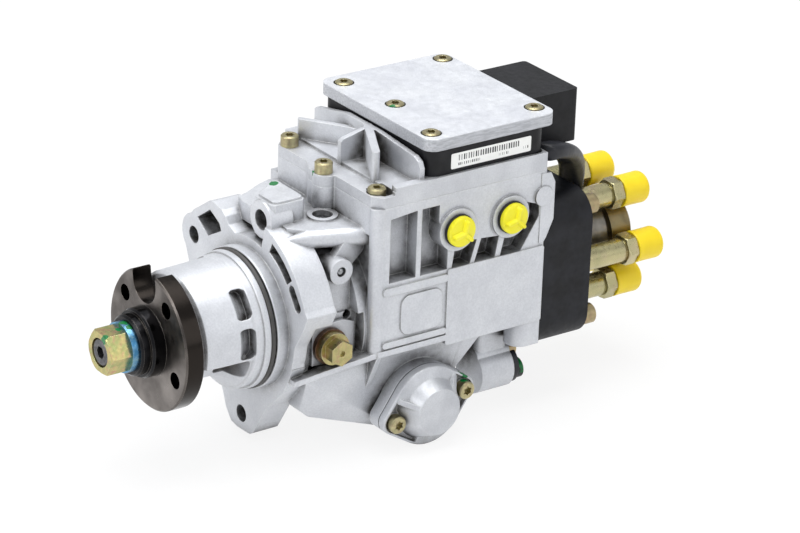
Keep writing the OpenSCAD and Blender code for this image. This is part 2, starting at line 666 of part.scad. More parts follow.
module valve_body() color("#8e8a80") difference() {
    union() {
        ycyl(valve_d/2, head_y1, head_y1 + 32);
        ycyl(valve_d/2 - 2.5, head_y1 + 32, head_y1 + 34.5);
        ycyl(stem_r + 2, head_y1 - 8, head_y1);
    }
    ycyl(2.5 + run_gap, head_y1 - 9, head_y1 + 22);
}

module valve_cap() color("#b8a878") union() {
    ycyl(valve_d/2 + 0.6, head_y1 + 34.5, head_y1 + 46);
    ycone(valve_d/2 + 0.6, valve_d/2 - 1, head_y1 + 46, head_y1 + 47.5);
}

module valve_needle() color("lightsteelblue") union() {
    ycyl(2.5, head_y1 - 6, head_y1 + 20);
    ycone(0.8, 2.5, head_y1 - 7.6, head_y1 - 6);
}

// Flat cable duct from the control unit down to the valve in the middle of the head
module cable_duct() color("#26262a") {
    hull() {
        block([31, frame_y1 + face_gap, 62], [45, frame_y1 + 2.5, 71]);
        block([-4, head_y1 + 15, 31], [8, head_y1 + 22, 35]);
    }
    difference() {
        block([-4, head_y1 + 15, 10], [6, head_y1 + 22, 32]);
        ycyl(valve_d/2, head_y1, head_y1 + 40);
    }
}

// An upright fin of the control unit base that stands across the corner
module fin(p, q, r, z) zplate(seam_z + 2, z) link(p, q, r, r + 0.2);

module unit_base() color("gainsboro") difference() {
    union() {
        zplate(seam_z, seam_z + base_ledge_h) box_outline();
        block([-box_x + 0.3, 48.5, seam_z], [box_x, box_y1, seam_z + base_floor_h]);
        block([-box_x + 0.3, wall_y + 1, seam_z], [box_x, box_y1, seam_z + base_h]);
        block([box_x - 4.5, 49, seam_z], [box_x, wall_y + 8, seam_z + base_h]);
        // Wall in front of the plastic frame and its stiffening fins
        yplate(wall_y, wall_y + rib_t) polygon([[-44, seam_z + 2], [-44, seam_z + 15], [-42.5, seam_z + 16.2], [-18, wall_z],
            [9, wall_z], [38, wall_z - 2.2], [41.5, wall_z - 4], [43, wall_z - 7], [43, seam_z + 2]]);
        fin([-33.5, 49], [-10.5, wall_y + 1], 1.3, seam_z + 16.5);
        fin([28, 49.5], [-1, wall_y + 1], 1.9, wall_z);
        xplate(0, rib_t) polygon([[47.5, seam_z + 2], [47.5, seam_z + 17], [49, seam_z + 18.3], [61.5, wall_z],
            [wall_y + 1, wall_z], [wall_y + 1, seam_z + 2]]);
    }
    for (p = base_screws) {
        zcyl(2.7, seam_z - 1, seam_z + 20, p.x, p.y);
        zcyl(screw_head_d/2 + 0.5, seam_z + p.z, seam_z + 30, p.x, p.y);
    }
    // Corner pocket around the sunk screw
    translate([0, 0, seam_z + base_screws[2].z]) linear_extrude(12)
        polygon([[33, 50], [31.5, 42], [37.5, 39.6], [44, 44], [43.5, 49.5]]);
}

module unit_screws() color("khaki") {
    for (p = base_screws) translate([p.x, p.y, seam_z + p.z]) torx_screw(screw_head_d, screw_head_h, 5, 10);
    for (p = lid_screws) translate([p.x, p.y, lid_z1 - 4]) torx_screw(screw_head_d, screw_head_h - 0.6, 5, 12);
}

module unit_frame() color("#1c1c20") difference() {
    zplate(seam_z + base_h, lid_z0) round_rect([lid_x0 + 3, lid_y0 + 0.8], [lid_x1 - 0.8, frame_y1], 6);
    zplate(seam_z + base_h - 1, lid_z0 - 3) round_rect([lid_x0 + 7, lid_y0 + 17], [lid_x1 - 4, frame_y1 - 12], 4);
    for (p = lid_screws) zcyl(2.7, seam_z + base_h - 1, lid_z0 + 1, p.x, p.y);
}

module circuit_board() color("darkgreen") union() {
    zplate(seam_z + base_h + face_gap, seam_z + base_h + 1.9) round_rect([lid_x0 + 9, lid_y0 + 19], [lid_x1 - 6, frame_y1 - 14], 2);
    for (i = [0:3]) block([-30 + 15*i, lid_y0 + 24, seam_z + base_h + 1.9], [-20 + 15*i, lid_y0 + 34, seam_z + base_h + 4.5]);
}

module unit_lid() color("whitesmoke") difference() {
    zplate(lid_z0, lid_z1) round_rect([lid_x0, lid_y0], [lid_x1, lid_y1], 6);
    for (p = lid_screws) {
        zcyl(2.7, lid_z0 - 1, lid_z1 + 1, p.x, p.y);
        zcyl(screw_head_d/2 + 0.7, lid_z1 - 4, lid_z1 + 1, p.x, p.y);
    }
}

module connector() color("#1a1a1c") {
    difference() {
        union() {
            zplate(lid_z0 - 23.5, lid_z1 - 3) round_rect([-24, frame_y1 + 6.3], [19, frame_y1 + 38], 2);
            block([-18, frame_y1 + face_gap, lid_z0 - 11], [5, frame_y1 + 7, lid_z0 - 1]);
        }
        zplate(lid_z0 - 25, lid_z0 - 8) round_rect([-21, frame_y1 + 12], [16, frame_y1 + 35], 2);
    }
    for (i = [0:2])
        for (j = [0:1]) zcyl(0.8, lid_z0 - 18, lid_z0 - 7, -14 + 12*i, frame_y1 + 20 + 7*j);
}

module port_seals() color("#151515") for (i = [0, 1]) difference() {
    xcyl(port_d/2 + 0.4, box_x + 1.6, box_x + 3, port_y + i*port_pitch, port_z);
    xcyl(5.8, box_x + 1, box_x + 4, port_y + i*port_pitch, port_z);
}

module port_plugs() color("#e8e020") for (i = [0, 1]) difference() {
    union() {
        xcyl(port_d/2, box_x + 3, box_x + 6, port_y + i*port_pitch, port_z);
        xcyl(5.4, box_x - 8, box_x + 3, port_y + i*port_pitch, port_z);
    }
    block([box_x + 5, port_y + i*port_pitch - 5, port_z - 0.8], [box_x + 7, port_y + i*port_pitch + 5, port_z + 0.8]);
}

module lock_spacer() color("gainsboro") difference() {
    xplate(lock_face, lock_face + 2) polygon([[11.5, -15], [11.5, 4.5], [28.5, 5], [34.6, 2.7], [34.6, -12.4],
        [17.5, -15.3]]);
    xcyl(4.3, lock_face - 1, lock_face + 3, lock_y, lock_z);
}

module lock_washer() color("#6b4a34") difference() {
    xcyl(8.7, lock_face + 2, lock_face + 4.5, lock_y, lock_z);
    xcyl(4.3, lock_face + 1, lock_face + 5, lock_y, lock_z);
}

module lock_bolt() color("#d8c878") {
    xcyl(7.8, lock_face + 4.5, lock_face + 8, lock_y, lock_z);
    difference() {
        translate([lock_face + 8, lock_y, lock_z]) rotate([0, 90, 0]) cylinder(r = 11/sqrt(3), h = 5.8, $fn = 6);
        xcyl(1.5, lock_face + 12.5, lock_face + 15, lock_y, lock_z);
    }
    xcyl(4 - run_gap, ring_d/2 + 1, lock_face + 4.5, lock_y, lock_z);
}

module timing_solenoid() color("#1e1e20") {
    ycyl(5 - run_gap, solenoid_y - 12, solenoid_y, solenoid.x, solenoid.y);
    difference() {
        ycyl(10, solenoid_y, solenoid_y + 3.5, solenoid.x, solenoid.y);
        ycyl(screw_head_d/2 + 0.3, solenoid_y - 1, solenoid_y + 5, solenoid_screw_pos.x, solenoid_screw_pos.y);
    }
    ycyl(5, solenoid_y + 3.5, solenoid_y + 9.5, solenoid.x + 1, solenoid.y - 4);
}

module solenoid_screw() color("#c8b494") translate([solenoid_screw_pos.x, solenoid_y, solenoid_screw_pos.y])
    rotate([-90, 0, 0]) torx_screw(screw_head_d, screw_head_h, 5, 10);

module gallery_plugs() color("lightgray") {
    translate([36, 25, 30.5]) sphere(2.4);
    difference() {
        zcyl(4.9, ledge_z - 7, ledge_z - 1.5, 14.5, 30);
        translate([14.5, 30, ledge_z - 4]) cylinder(r = 2.6, h = 5, $fn = 6);
    }
}

module drive_shaft() color("#45433f") difference() {
    yturn() polygon([[0, nut_front + 0.4], [thread_d/2 - 1, nut_front + 0.4], [thread_d/2, nut_front + 1.4],
        [thread_d/2, collar_front], [9, collar_front], [9, boss_front], [11, hub_back], [shaft_d/2, hub_back + 0.1],
        [shaft_d/2, plate_y1 + 2], [16, plate_y1 + 2], [16, plate_y1 + 4], [11, plate_y1 + 4], [11, rotor_y0 - 8],
        [14, rotor_y0 - 8], [14, rotor_y0], [0, rotor_y0]]);
    translate([0, nut_front + 0.3, 0]) rotate([-90, 0, 0]) cylinder(r = 3.2, h = 4, $fn = 6);
    // Slot for the tongue of the distributor shaft
    block([-20, rotor_y0 - 4.1, -3.05], [20, rotor_y0 + 1, 3.05]);
}

module drive_hub() color("#55504a") difference() {
    union() {
        yturn() polygon([[0, hub_back], [hub_d/2 - 0.8, hub_back], [hub_d/2, hub_back - 0.8], [hub_d/2, hub_front + 0.8],
            [hub_d/2 - 0.8, hub_front], [16.5, hub_front], [16.5, boss_front + 1.2], [15.8, boss_front],
            [14.5, boss_front], [14.5, collar_front + 1], [13.5, collar_front], [0, collar_front]]);
    }
    yturn() polygon([[0, collar_front - 1], [9, collar_front - 1], [9, boss_front], [11, hub_back], [11.2, hub_back + 1], [0, hub_back + 1]]);
    for (a = hub_hole_a) ycyl(hub_hole_d/2, hub_front - 1, hub_back + 1, hub_hole_r*cos(a), hub_hole_r*sin(a));
    yplate(hub_front - 0.01, hub_back + 1) rotate(notch_a) {
        translate([18 + notch_w/2, 0]) circle(notch_w/2);
        translate([18 + notch_w/2, -notch_w/2]) square([30, notch_w]);
    }
}

module shaft_nut() color("#e0cc70") difference() {
    intersection() {
        yhex(nut_af, nut_front, washer_front);
        ycone(nut_af/2 + 0.3, nut_af/2 + 0.3 + 1.7*nut_h, nut_front, washer_front);
    }
    ycyl(thread_d/2, nut_front - 1, washer_front + 1);
}

module spring_washer() color("#5a9cc8") difference() {
    ycyl(12, washer_front, collar_front);
    ycyl(thread_d/2 + 0.2, washer_front - 1, collar_front + 1);
}

module vane_rotor() color("gray") difference() {
    ycyl(vane_rotor_d/2, vane_y0 + 0.1, vane_y1 - 0.1);
    ycyl(shaft_d/2, vane_y0 - 1, vane_y1 + 1);
    for (a = [45:90:315]) rotate([0, -a, 0]) block([shaft_d/2 + 0.6, vane_y0 - 1, -1.05], [vane_rotor_d/2 + 1, vane_y1 + 1, 1.05]);
}

module vane(i) color("lightgray") rotate([0, -(45 + 90*i), 0])
    block([shaft_d/2 + 0.7, vane_y0 + 0.2, -1], [vane_rotor_d/2, vane_y1 - 0.2, 1]);

module sensor_wheel() color("gray") difference() {
    ycyl(sensor_r, sensor_y, sensor_y + 3);
    ycyl(11, sensor_y - 1, sensor_y + 4);
    for (i = [0:35]) rotate([0, -i*10, 0]) block([sensor_r - 2, sensor_y - 1, -0.9], [sensor_r + 2, sensor_y + 4, 0.9]);
}

module distributor_shaft() color("lightsteelblue") difference() {
    union() {
        ycyl(rotor_head_r, rotor_y0, rotor_y1);
        ycyl(stem_r, rotor_y1, head_y1 - 9);
        block([-13, rotor_y0 - 4, -3], [13, rotor_y0, 3]);
    }
    for (i = [0:2]) rotate([0, -(120*i + roller_a), 0]) {
        xcyl(plunger_d/2 + run_gap, 0, rotor_head_r + 1, timing_y, 0);
        block([shoe_in - 0.3, timing_y - shoe_l/2 - 0.1, -shoe_w/2 - 0.1], [rotor_head_r + 1, timing_y + shoe_l/2 + 0.1, shoe_w/2 + 0.1]);
    }
    ycyl(1.2, timing_y, head_y1 - 8);
}

roller_a = 30;

module plunger(i) color("silver") rotate([0, -(120*i + roller_a), 0]) xcyl(plunger_d/2, 3.6, shoe_in, timing_y, 0);

module shoe(i) color("gray") rotate([0, -(120*i + roller_a), 0]) difference() {
    block([shoe_in, timing_y - shoe_l/2, -shoe_w/2], [roller_rest_r + 1, timing_y + shoe_l/2, shoe_w/2]);
    ycyl(roller_d/2 + run_gap, timing_y - shoe_l, timing_y + shoe_l, roller_rest_r, 0);
}

module roller(i) color("silver") rotate([0, -(120*i + roller_a), 0])
    ycyl(roller_d/2, timing_y - shoe_l/2, timing_y + shoe_l/2, roller_rest_r, 0);

module cam_ring() color("slategray") difference() {
    ycyl(cam_od/2, cam_y0, cam_y1);
    difference() {
        ycyl(cam_id/2, cam_y0 - 1, cam_y1 + 1);
        for (i = [0:lobes - 1]) rotate([0, -(i*360/lobes), 0])
            ycyl(lobe_r, cam_y0 - 2, cam_y1 + 2, cam_id/2 - cam_lift + lobe_r, 0);
    }
    zcyl(4, -cam_od, -cam_id/2 - 2, 0, timing_y);
}

module cam_pin() color("silver") union() {
    zcyl(4, -cam_od/2 + 0.5, -cam_id/2 - 2, 0, timing_y);
    zcyl(2.6, -timing_z + 1, -cam_od/2 + 1, 0, timing_y);
    translate([0, timing_y, -timing_z]) sphere(4.4);
}

module angle_sensor() color("#303030") difference() {
    block([-8, sensor_y - 5, sensor_r - 2.5], [8, cam_y0, cam_od/2 - 3.5]);
    block([-9, sensor_y - 1, sensor_r - 4], [9, sensor_y + 4, sensor_r + 1.5]);
}

module timing_piston() color("silver") difference() {
    xcyl(timing_d/2, -piston_l/2, piston_l/2, timing_y, -timing_z);
    // Cross slot for the ball of the pin, and the spring pocket
    block([-4.5, timing_y - 4.5, -timing_z - 6], [4.5, timing_y + 4.5, -timing_z + 20]);
    xcyl(7.2, piston_l/2 - 10, piston_l/2 + 1, timing_y, -timing_z);
}

module timing_spring() color("gray") translate([piston_l/2 - 10, timing_y, -timing_z]) rotate([0, 0, -90])
    spring_sleeve(6, 1.6, 30, 7);

housing();
shaft_seal();
front_bush();
pilot_ring();
vane_ring();
pump_plate();
timing_cover();
timing_gasket();
back_cover();
cover_screws();
head_flange();
barrel();
head_bolts();
outlet_holders();
valve_body();
valve_cap();
cable_duct();
unit_base();
unit_screws();
unit_frame();
circuit_board();
unit_lid();
connector();
port_seals();
lock_bolt();
lock_washer();
lock_spacer();
timing_solenoid();
solenoid_screw();
gallery_plugs();
drive_shaft();
drive_hub();
shaft_nut();
spring_washer();
vane_rotor();
sensor_wheel();
distributor_shaft();
vane(0);  // vane_1
vane(1);  // vane_2
vane(2);  // vane_3
vane(3);  // vane_4
plunger(0);  // plunger_1
plunger(1);  // plunger_2
plunger(2);  // plunger_3
shoe(0);  // shoe_1
shoe(1);  // shoe_2
shoe(2);  // shoe_3
roller(0);  // roller_1
roller(1);  // roller_2
roller(2);  // roller_3
cam_ring();
cam_pin();
angle_sensor();
timing_piston();
timing_spring();
valve_needle();
delivery_valves();
delivery_springs();
outlet_caps();
port_plugs();
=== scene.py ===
# %% [markdown]
# # A diesel injection pump on a white studio floor
#
# The solids of this pump come from a CAD model: a die-cast housing, a steel drive hub, a plastic-cased
# control unit and six capped outlets. This lesson gives each of them the surface that its maker left on it,
# draws five of them again in a finer form, adds a printed label, and sets up a plain studio.

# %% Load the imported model
import math
from collections import namedtuple
import bmesh
import bpy
import numpy as np
from mathutils import Matrix, Vector


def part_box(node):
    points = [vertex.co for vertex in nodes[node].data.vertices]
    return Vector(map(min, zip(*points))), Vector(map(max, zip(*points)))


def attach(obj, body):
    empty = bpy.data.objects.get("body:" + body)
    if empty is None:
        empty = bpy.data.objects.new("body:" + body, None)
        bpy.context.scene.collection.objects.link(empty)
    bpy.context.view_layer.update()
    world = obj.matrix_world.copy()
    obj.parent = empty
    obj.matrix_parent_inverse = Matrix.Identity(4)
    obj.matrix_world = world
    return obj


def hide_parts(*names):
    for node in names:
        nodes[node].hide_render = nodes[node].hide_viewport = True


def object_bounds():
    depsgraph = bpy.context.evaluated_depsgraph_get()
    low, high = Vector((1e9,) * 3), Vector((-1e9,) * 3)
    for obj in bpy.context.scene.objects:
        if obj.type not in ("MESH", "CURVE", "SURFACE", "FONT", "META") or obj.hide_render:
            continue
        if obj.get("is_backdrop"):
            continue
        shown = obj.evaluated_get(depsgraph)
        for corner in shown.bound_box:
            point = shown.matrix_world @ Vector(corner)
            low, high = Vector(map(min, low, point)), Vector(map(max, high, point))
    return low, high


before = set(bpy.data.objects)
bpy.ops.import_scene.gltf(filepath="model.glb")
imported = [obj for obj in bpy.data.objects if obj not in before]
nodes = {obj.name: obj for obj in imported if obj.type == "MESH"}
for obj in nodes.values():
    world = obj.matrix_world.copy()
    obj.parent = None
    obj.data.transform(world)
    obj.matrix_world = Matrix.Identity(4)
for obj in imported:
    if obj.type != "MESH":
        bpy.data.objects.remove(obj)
cad_lo, cad_hi = (Vector(v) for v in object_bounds())
MM = 0.001


def put(name, data):
    """Makes an object from data, links it to the scene and returns it."""
    made = bpy.data.objects.new(name, data)
    bpy.context.scene.collection.objects.link(made)
    return made


print("CAD box in mm:", [round(1000*v, 1) for v in (*cad_lo, *cad_hi)])

# %% [markdown]
# ## The camera
#
# The photograph was matched: its standpoint, its turn and its focal length bring the nut, the hub and
# the outlets of the model onto those of the picture. The camera looks along its own negative Z axis, so the
# matrix is built from three rows: right, up and back.

# %% Camera
azimuth, elevation, roll = (math.radians(a) for a in (54.24, 23.86, 1.98))
standpoint_mm = Vector((1251.7, -815.9, 687.2))
sensor_mm, focal_px, photo_px = 36, 3529.7, 800

level = math.cos(elevation)
back = Vector((math.sin(azimuth)*level, -math.cos(azimuth)*level, math.sin(elevation)))
right = Vector((math.cos(azimuth), math.sin(azimuth), 0))
up = back.cross(right)
right, up = math.cos(roll)*right + math.sin(roll)*up, -math.sin(roll)*right + math.cos(roll)*up

lens = bpy.data.cameras.new("product_camera")
lens.sensor_width = sensor_mm
lens.lens = sensor_mm*focal_px/photo_px
lens.clip_end = 20
camera = put("product_camera", lens)
facing = Matrix((right, up, back)).transposed().to_4x4()
camera.matrix_world = Matrix.Translation(standpoint_mm*MM) @ facing
bpy.context.scene.camera = camera
print("lens", round(lens.lens, 1), "mm")

# %% [markdown]
# ## Helpers for materials
#
# Colours are picked as sRGB hex values, the way a paint chart gives them, and the shader needs linear ones.
# One function adds a node: a dictionary sets or links its inputs, and keywords set its own options. Patterns
# are given by the size of their lumps in millimetres, because that can be measured on the real surface.

# %% Colours and nodes
Finish = namedtuple("Finish", "mat tree shader place")


def linear(code):
    """Each channel c of the hex code goes through the sRGB curve:
    c/12.92 up to 0.04045, and ((c + 0.055)/1.055)^2.4 above it."""
    c = np.array([int(code[i:i + 2], 16)/255 for i in (0, 2, 4)])
    return (*np.where(c <= 0.04045, c/12.92, ((c + 0.055)/1.055)**2.4), 1.0)


def add(tree, kind, inputs=None, **options):
    """Adds one node; an input that is given a socket is linked to it, and any other value is set on it."""
    made = tree.nodes.new(kind)
    for key, value in options.items():
        setattr(made, key, value)
    for key, value in (inputs or {}).items():
        if isinstance(value, bpy.types.NodeSocket):
            tree.links.new(value, made.inputs[key])
        else:
            made.inputs[key].default_value = value
    return made


def finish(name):
    """Starts a material with one Principled shader, and gives it back with its tree and Object coordinates."""
    mat = bpy.data.materials.new(name)
    mat.use_nodes = True
    tree = mat.node_tree
    tree.nodes.clear()
    shader = add(tree, "ShaderNodeBsdfPrincipled")
    add(tree, "ShaderNodeOutputMaterial", {"Surface": shader.outputs[0]})
    return Finish(mat, tree, shader, add(tree, "ShaderNodeTexCoord").outputs["Object"])


def calculate(tree, how, a, b=0.0, clamp=False):
    """One step of arithmetic on two numbers."""
    return add(tree, "ShaderNodeMath", {0: a, 1: b}, operation=how, use_clamp=clamp).outputs[0]


def between(tree, value, low, high, to_low=0.0, to_high=1.0):
    """Stretches value from low..high to to_low..to_high and clamps it there."""
    inputs = {0: value, 1: low, 2: high, 3: to_low, 4: to_high}
    return add(tree, "ShaderNodeMapRange", inputs).outputs[0]


def blend_colour(tree, factor, a, b):
    """Mixes two colours, given as sockets or as linear values: (1 - factor) a + factor b."""
    return add(tree, "ShaderNodeMix", {0: factor, 6: a, 7: b}, data_type="RGBA").outputs[2]


# %% Patterns
def speckle(tree, place, size_mm, detail=2.0, rough=0.5):
    """Noise with lumps size_mm across: the texture's scale counts lumps in a metre, so it is 1000/size_mm."""
    inputs = {"Vector": place, "Scale": 1000/size_mm, "Detail": detail, "Roughness": rough}
    return add(tree, "ShaderNodeTexNoise", inputs).outputs[0]


def mottle(tree, place, size_mm, detail, low=0.0, high=1.0):
    """Noise that fills low..high: nearly all of its own values lie in 0.3..0.7, which is stretched to that."""
    return between(tree, speckle(tree, place, size_mm, detail), 0.3, 0.7, low, high)


def soft_edges(tree, radius_mm):
    """A normal that is rounded at sharp edges, and how far it leans away from the flat one.
    The cosine between the two is 1 on a face, and 0.995..0.8 is read as 0..1."""
    rounded = add(tree, "ShaderNodeBevel", {"Radius": radius_mm*MM}, samples=4).outputs[0]
    flat = add(tree, "ShaderNodeNewGeometry").outputs["Normal"]
    cosine = add(tree, "ShaderNodeVectorMath", {0: rounded, 1: flat}, operation="DOT_PRODUCT").outputs["Value"]
    return rounded, between(tree, cosine, 0.995, 0.8)


def paint_edge_highlight(tree, edge, part, colour, tone):
    """Paints edges in part with another tone, as a painted highlight."""
    return blend_colour(tree, calculate(tree, "MULTIPLY", edge, part), colour, linear(tone))


def bump(tree, height, depth_mm, normal):
    """Turns a height of 0..1 into a tilt of the normal, depth_mm from valley to crest."""
    inputs = {"Height": height, "Distance": depth_mm*MM, "Strength": 1.0, "Normal": normal}
    return add(tree, "ShaderNodeBump", inputs).outputs[0]


def dress(made, colour, rough, normal, metallic=0.0):
    """Gives the shader its colour, roughness and normal, and says how metallic it is."""
    for key, source in (("Base Color", colour), ("Roughness", rough), ("Normal", normal)):
        made.tree.links.new(source, made.shader.inputs[key])
    made.shader.inputs["Metallic"].default_value = metallic
    return made

# %% [markdown]
# ## Die-cast aluminium
#
# The housing is cast in a steel mould and blasted with fine grit. That leaves a satin, slightly cloudy surface,
# with a fine grain of about 0.7 mm and soft edges, which are painted bright as a highlight. The Ambient Occlusion
# node darkens what sits deep between walls, as painted shade in the corners of the ribs. The lid is a lighter copy,
# painted bright as if lit by the lamp above, and its sides are painted darker below the top, as painted shade.

# %% Cast aluminium
def cast_aluminium(name, light, dark, painted_shade_tone, grain_mm=0.7, edge_mm=0.9, reach_mm=9, depth_mm=0.06):
    """Blasted casting: cloudy colour, fine grey flecks, painted shade in corners, painted edge highlights, fine
    grain.
    The painted shade lies where walls within reach_mm hide part of the sky, and the grain is depth_mm deep."""
    made = finish(name)
    tree, place = made.tree, made.place
    rounded, edge = soft_edges(tree, edge_mm)
    clouds = between(tree, speckle(tree, place, 16, 3), 0.34, 0.66)
    colour = blend_colour(tree, clouds, linear(dark), linear(light))
    flecks = mottle(tree, place, 1.3*grain_mm, 2, 0.0, 0.2)
    colour = blend_colour(tree, flecks, colour, linear("8f9196"))
    # Painted shade: deep between walls the colour darkens towards the shade tone, made uneven by a blotch noise
    sky = add(tree, "ShaderNodeAmbientOcclusion", {"Distance": reach_mm*MM}, samples=6).outputs["AO"]
    blotch = mottle(tree, place, 4, 4, 0.6, 1.25)
    painted_shade = calculate(tree, "MULTIPLY", between(tree, sky, 0.82, 0.3), blotch, clamp=True)
    colour = blend_colour(tree, painted_shade, colour, linear(painted_shade_tone))
    # Painted highlight: the edges are painted nearly white
    colour = paint_edge_highlight(tree, edge, 0.45, colour, "f6f7f8")
    rough = mottle(tree, place, 3, 3, 0.38, 0.54)
    grain = speckle(tree, place, grain_mm, 3, 0.65)
    return dress(made, colour, rough, bump(tree, grain, depth_mm, rounded), 0.55)


def paint_side_shade(made, level_mm, tone):
    """Below level_mm the colour turns to a darker, streaked grey: painted shade on the sides under the top.
    The streaks are noise drawn out along Y, by a factor of 0.12 on that coordinate."""
    tree, place = made.tree, made.place
    height = add(tree, "ShaderNodeSeparateXYZ", {0: place}).outputs[2]
    below = between(tree, height, level_mm*MM, (level_mm - 0.4)*MM)
    drawn = add(tree, "ShaderNodeVectorMath", {0: place, 1: (1.0, 0.12, 1.0)}, operation="MULTIPLY").outputs[0]
    streaks = between(tree, speckle(tree, drawn, 0.9, 3, 0.7), 0.42, 0.6, 0.55, 1.0)
    base = made.shader.inputs["Base Color"]
    share = calculate(tree, "MULTIPLY", below, streaks)
    tree.links.new(blend_colour(tree, share, base.links[0].from_socket, linear(tone)), base)


# %% Castings
# Cool, even grey that the eye reads as grit-blasted metal, with brown painted shade deep between the ribs
housing_cast = cast_aluminium("die_cast_aluminium_blasted", "d8dade", "cdcfd4", "4a4744", reach_mm=12)
# The same metal with a finer grain, for the small cover that stands out from the housing
cover_cast = cast_aluminium("die_cast_aluminium_bright", "d2d4d8", "bdbfc4", "55524e", 0.6, 0.7, 6)
# The unit's base, a little lighter, so that its fins stand apart from the housing
base_cast = cast_aluminium("unit_base_aluminium", "d6d8dc", "c5c7cc", "5a5753", 0.6, 0.7, 8)
# The brightest casting, nearly without grain: a lighter copy painted bright as if lit by the lamp above
lid_cast = cast_aluminium("lid_aluminium_painted_bright", "e4e6ea", "d6d8de", "75726e", 0.45, 0.5, 3, 0.03)
lid_top_mm = 1000*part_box("unit_lid")[1].z
# Painted shade: the lid's sides below its top are painted a darker grey
paint_side_shade(lid_cast, lid_top_mm - 0.2, "a9abb0")
print("the lid's milled top lies at", round(lid_top_mm, 1), "mm, and its sides are grey below that")

# %% [markdown]
# ## Steel, plated and oiled
#
# The screws and the nut carry yellow zinc: a thin chromate film that shines from straw yellow through green to
# pink. The drive hub is oiled dark steel, turned on a lathe, with a black boss in the middle. The outlets are
# plated in an olive tone. All of these are metals, so the colour goes into the base colour and the metallic
# value is 1.

# %% Plated and turned steel
def plated(name, tones, rough, patch_mm=4, edge_mm=0.25, highlight_tone="fff6cf", pit_mm=0.012):
    """Chromate film: three tones laid over each other by two noises, with edges painted bright as a highlight, and
    fine pits.
    """
    made = finish(name)
    tree, place = made.tree, made.place
    rounded, edge = soft_edges(tree, edge_mm)
    first = between(tree, speckle(tree, place, patch_mm, 2), 0.38, 0.62)
    second = between(tree, speckle(tree, place, 0.6*patch_mm, 3), 0.5, 0.75)
    colour = blend_colour(tree, first, linear(tones[0]), linear(tones[1]))
    colour = blend_colour(tree, second, colour, linear(tones[2]))
    # Painted highlight: the edges are painted in a pale tone
    colour = paint_edge_highlight(tree, edge, 0.5, colour, highlight_tone)
    rough = mottle(tree, place, 1.5, 3, rough - 0.07, rough + 0.09)
    return dress(made, colour, rough, bump(tree, speckle(tree, place, 0.35, 2), pit_mm, rounded), 1.0)


# Fresh zinc films, in which straw, green and pink patches play over small parts
nut_zinc = plated("yellow_zinc_nut", ("cabc80", "a9ae74", "c4947c"), 0.32, 4.5, 0.3, pit_mm=0.006)
zinc_yellow = plated("yellow_zinc_plate", ("bdb27e", "a9a271", "b08f76"), 0.32, pit_mm=0.006)
screws_zinc = plated("yellow_zinc_screws", ("bdb38a", "a8a27e", "a8947a"), 0.36, 3)
# Older films, which have gone tan, olive or dull brown and no longer play
zinc_tan = plated("aged_zinc_plate", ("b3a27c", "9c9070", "a98f74"), 0.34)
head_screws = plated("aged_zinc_head_screws", ("b3a27c", "9c9070", "a98f74"), 0.34)
zinc_olive = plated("olive_zinc_plate", ("c8be92", "b2ac84", "c0b090"), 0.3, 16, 0.25, "e8e0b8", 0.002)
zinc_gold = plated("dull_gold_plate", ("8e8160", "7a6e54", "97845f"), 0.36, 8)
valve_steel = plated("grey_plated_steel", ("8c8880", "77736c", "948a7c"), 0.36, 7, 0.3, "d8d4cc")
# Cold metals: the blue ring behind the nut draws the eye to the shaft, and ground steel is nearly a mirror
washer_blue = plated("blue_passivated_steel", ("6f9fc0", "4f8ab4", "8fb8c8"), 0.32, 3, 0.2, "d0e6ee")
ground_steel = plated("ground_bearing_steel", ("a4a6a8", "96989b", "aeb0b2"), 0.2, 5, 0.2, "e8e8e8")
shaft_steel = plated("dark_turned_shaft", ("6f6f72", "59595c", "7f7d7b"), 0.42, 3, 0.2, "a8a8aa")
# Warm metals: the bearing, and the washer of the lock bolt, brown from heat
bush_bronze = plated("bearing_bronze", ("a8844e", "977540", "b59562"), 0.3)
copper_washer = plated("annealed_copper", ("6e5647", "54463c", "7d6450"), 0.4, 3, 0.2, "b08a70")

# %% Oiled hub steel
boss_mm, lathe_mm = 16.6, 0.35


def hub_finish():
    """Oiled steel, darker on the boss, with painted shade on all sides that don't face along the shaft.
    The distance from the shaft's axis tells the boss from the disc, and its sine draws the marks of the lathe."""
    made = finish("oiled_turned_steel")
    tree, place = made.tree, made.place
    rounded, edge = soft_edges(tree, 0.35)
    xyz = add(tree, "ShaderNodeSeparateXYZ", {0: place})
    across = add(tree, "ShaderNodeCombineXYZ", {0: xyz.outputs[0], 2: xyz.outputs[2]}).outputs[0]
    radius = add(tree, "ShaderNodeVectorMath", {0: across}, operation="LENGTH").outputs["Value"]
    smoke = between(tree, speckle(tree, place, 16, 4), 0.35, 0.68)
    face = blend_colour(tree, smoke, linear("55504d"), linear("8b8581"))
    normal = add(tree, "ShaderNodeNewGeometry").outputs["Normal"]
    along_shaft = calculate(tree, "ABSOLUTE", add(tree, "ShaderNodeSeparateXYZ", {0: normal}).outputs[1])
    wall = between(tree, along_shaft, 0.75, 0.6)
    # Painted shade: faces that don't look along the shaft are painted darker
    face = blend_colour(tree, wall, face, linear("2e2a27"))
    boss = between(tree, radius, (boss_mm + 0.3)*MM, boss_mm*MM)
    colour = blend_colour(tree, boss, face, linear("29292b"))
    # Painted highlight: the edges of the hub are painted a pale brown-grey
    colour = paint_edge_highlight(tree, edge, 0.45, colour, "a89f96")
    rough = mottle(tree, place, 6, 4, 0.26, 0.44)
    rough = calculate(tree, "MULTIPLY", rough, between(tree, wall, 0, 1, 1.0, 0.6))
    rings = calculate(tree, "SINE", calculate(tree, "MULTIPLY", radius, 2*math.pi/(lathe_mm*MM)))
    return dress(made, colour, rough, bump(tree, between(tree, rings, -1, 1), 0.003, rounded), 1.0)


# Smoky brown-grey with a silky sheen, the darkest metal of the pump
hub_steel = hub_finish()
print("hub boss of radius", boss_mm, "mm, with lathe marks every", lathe_mm, "mm")
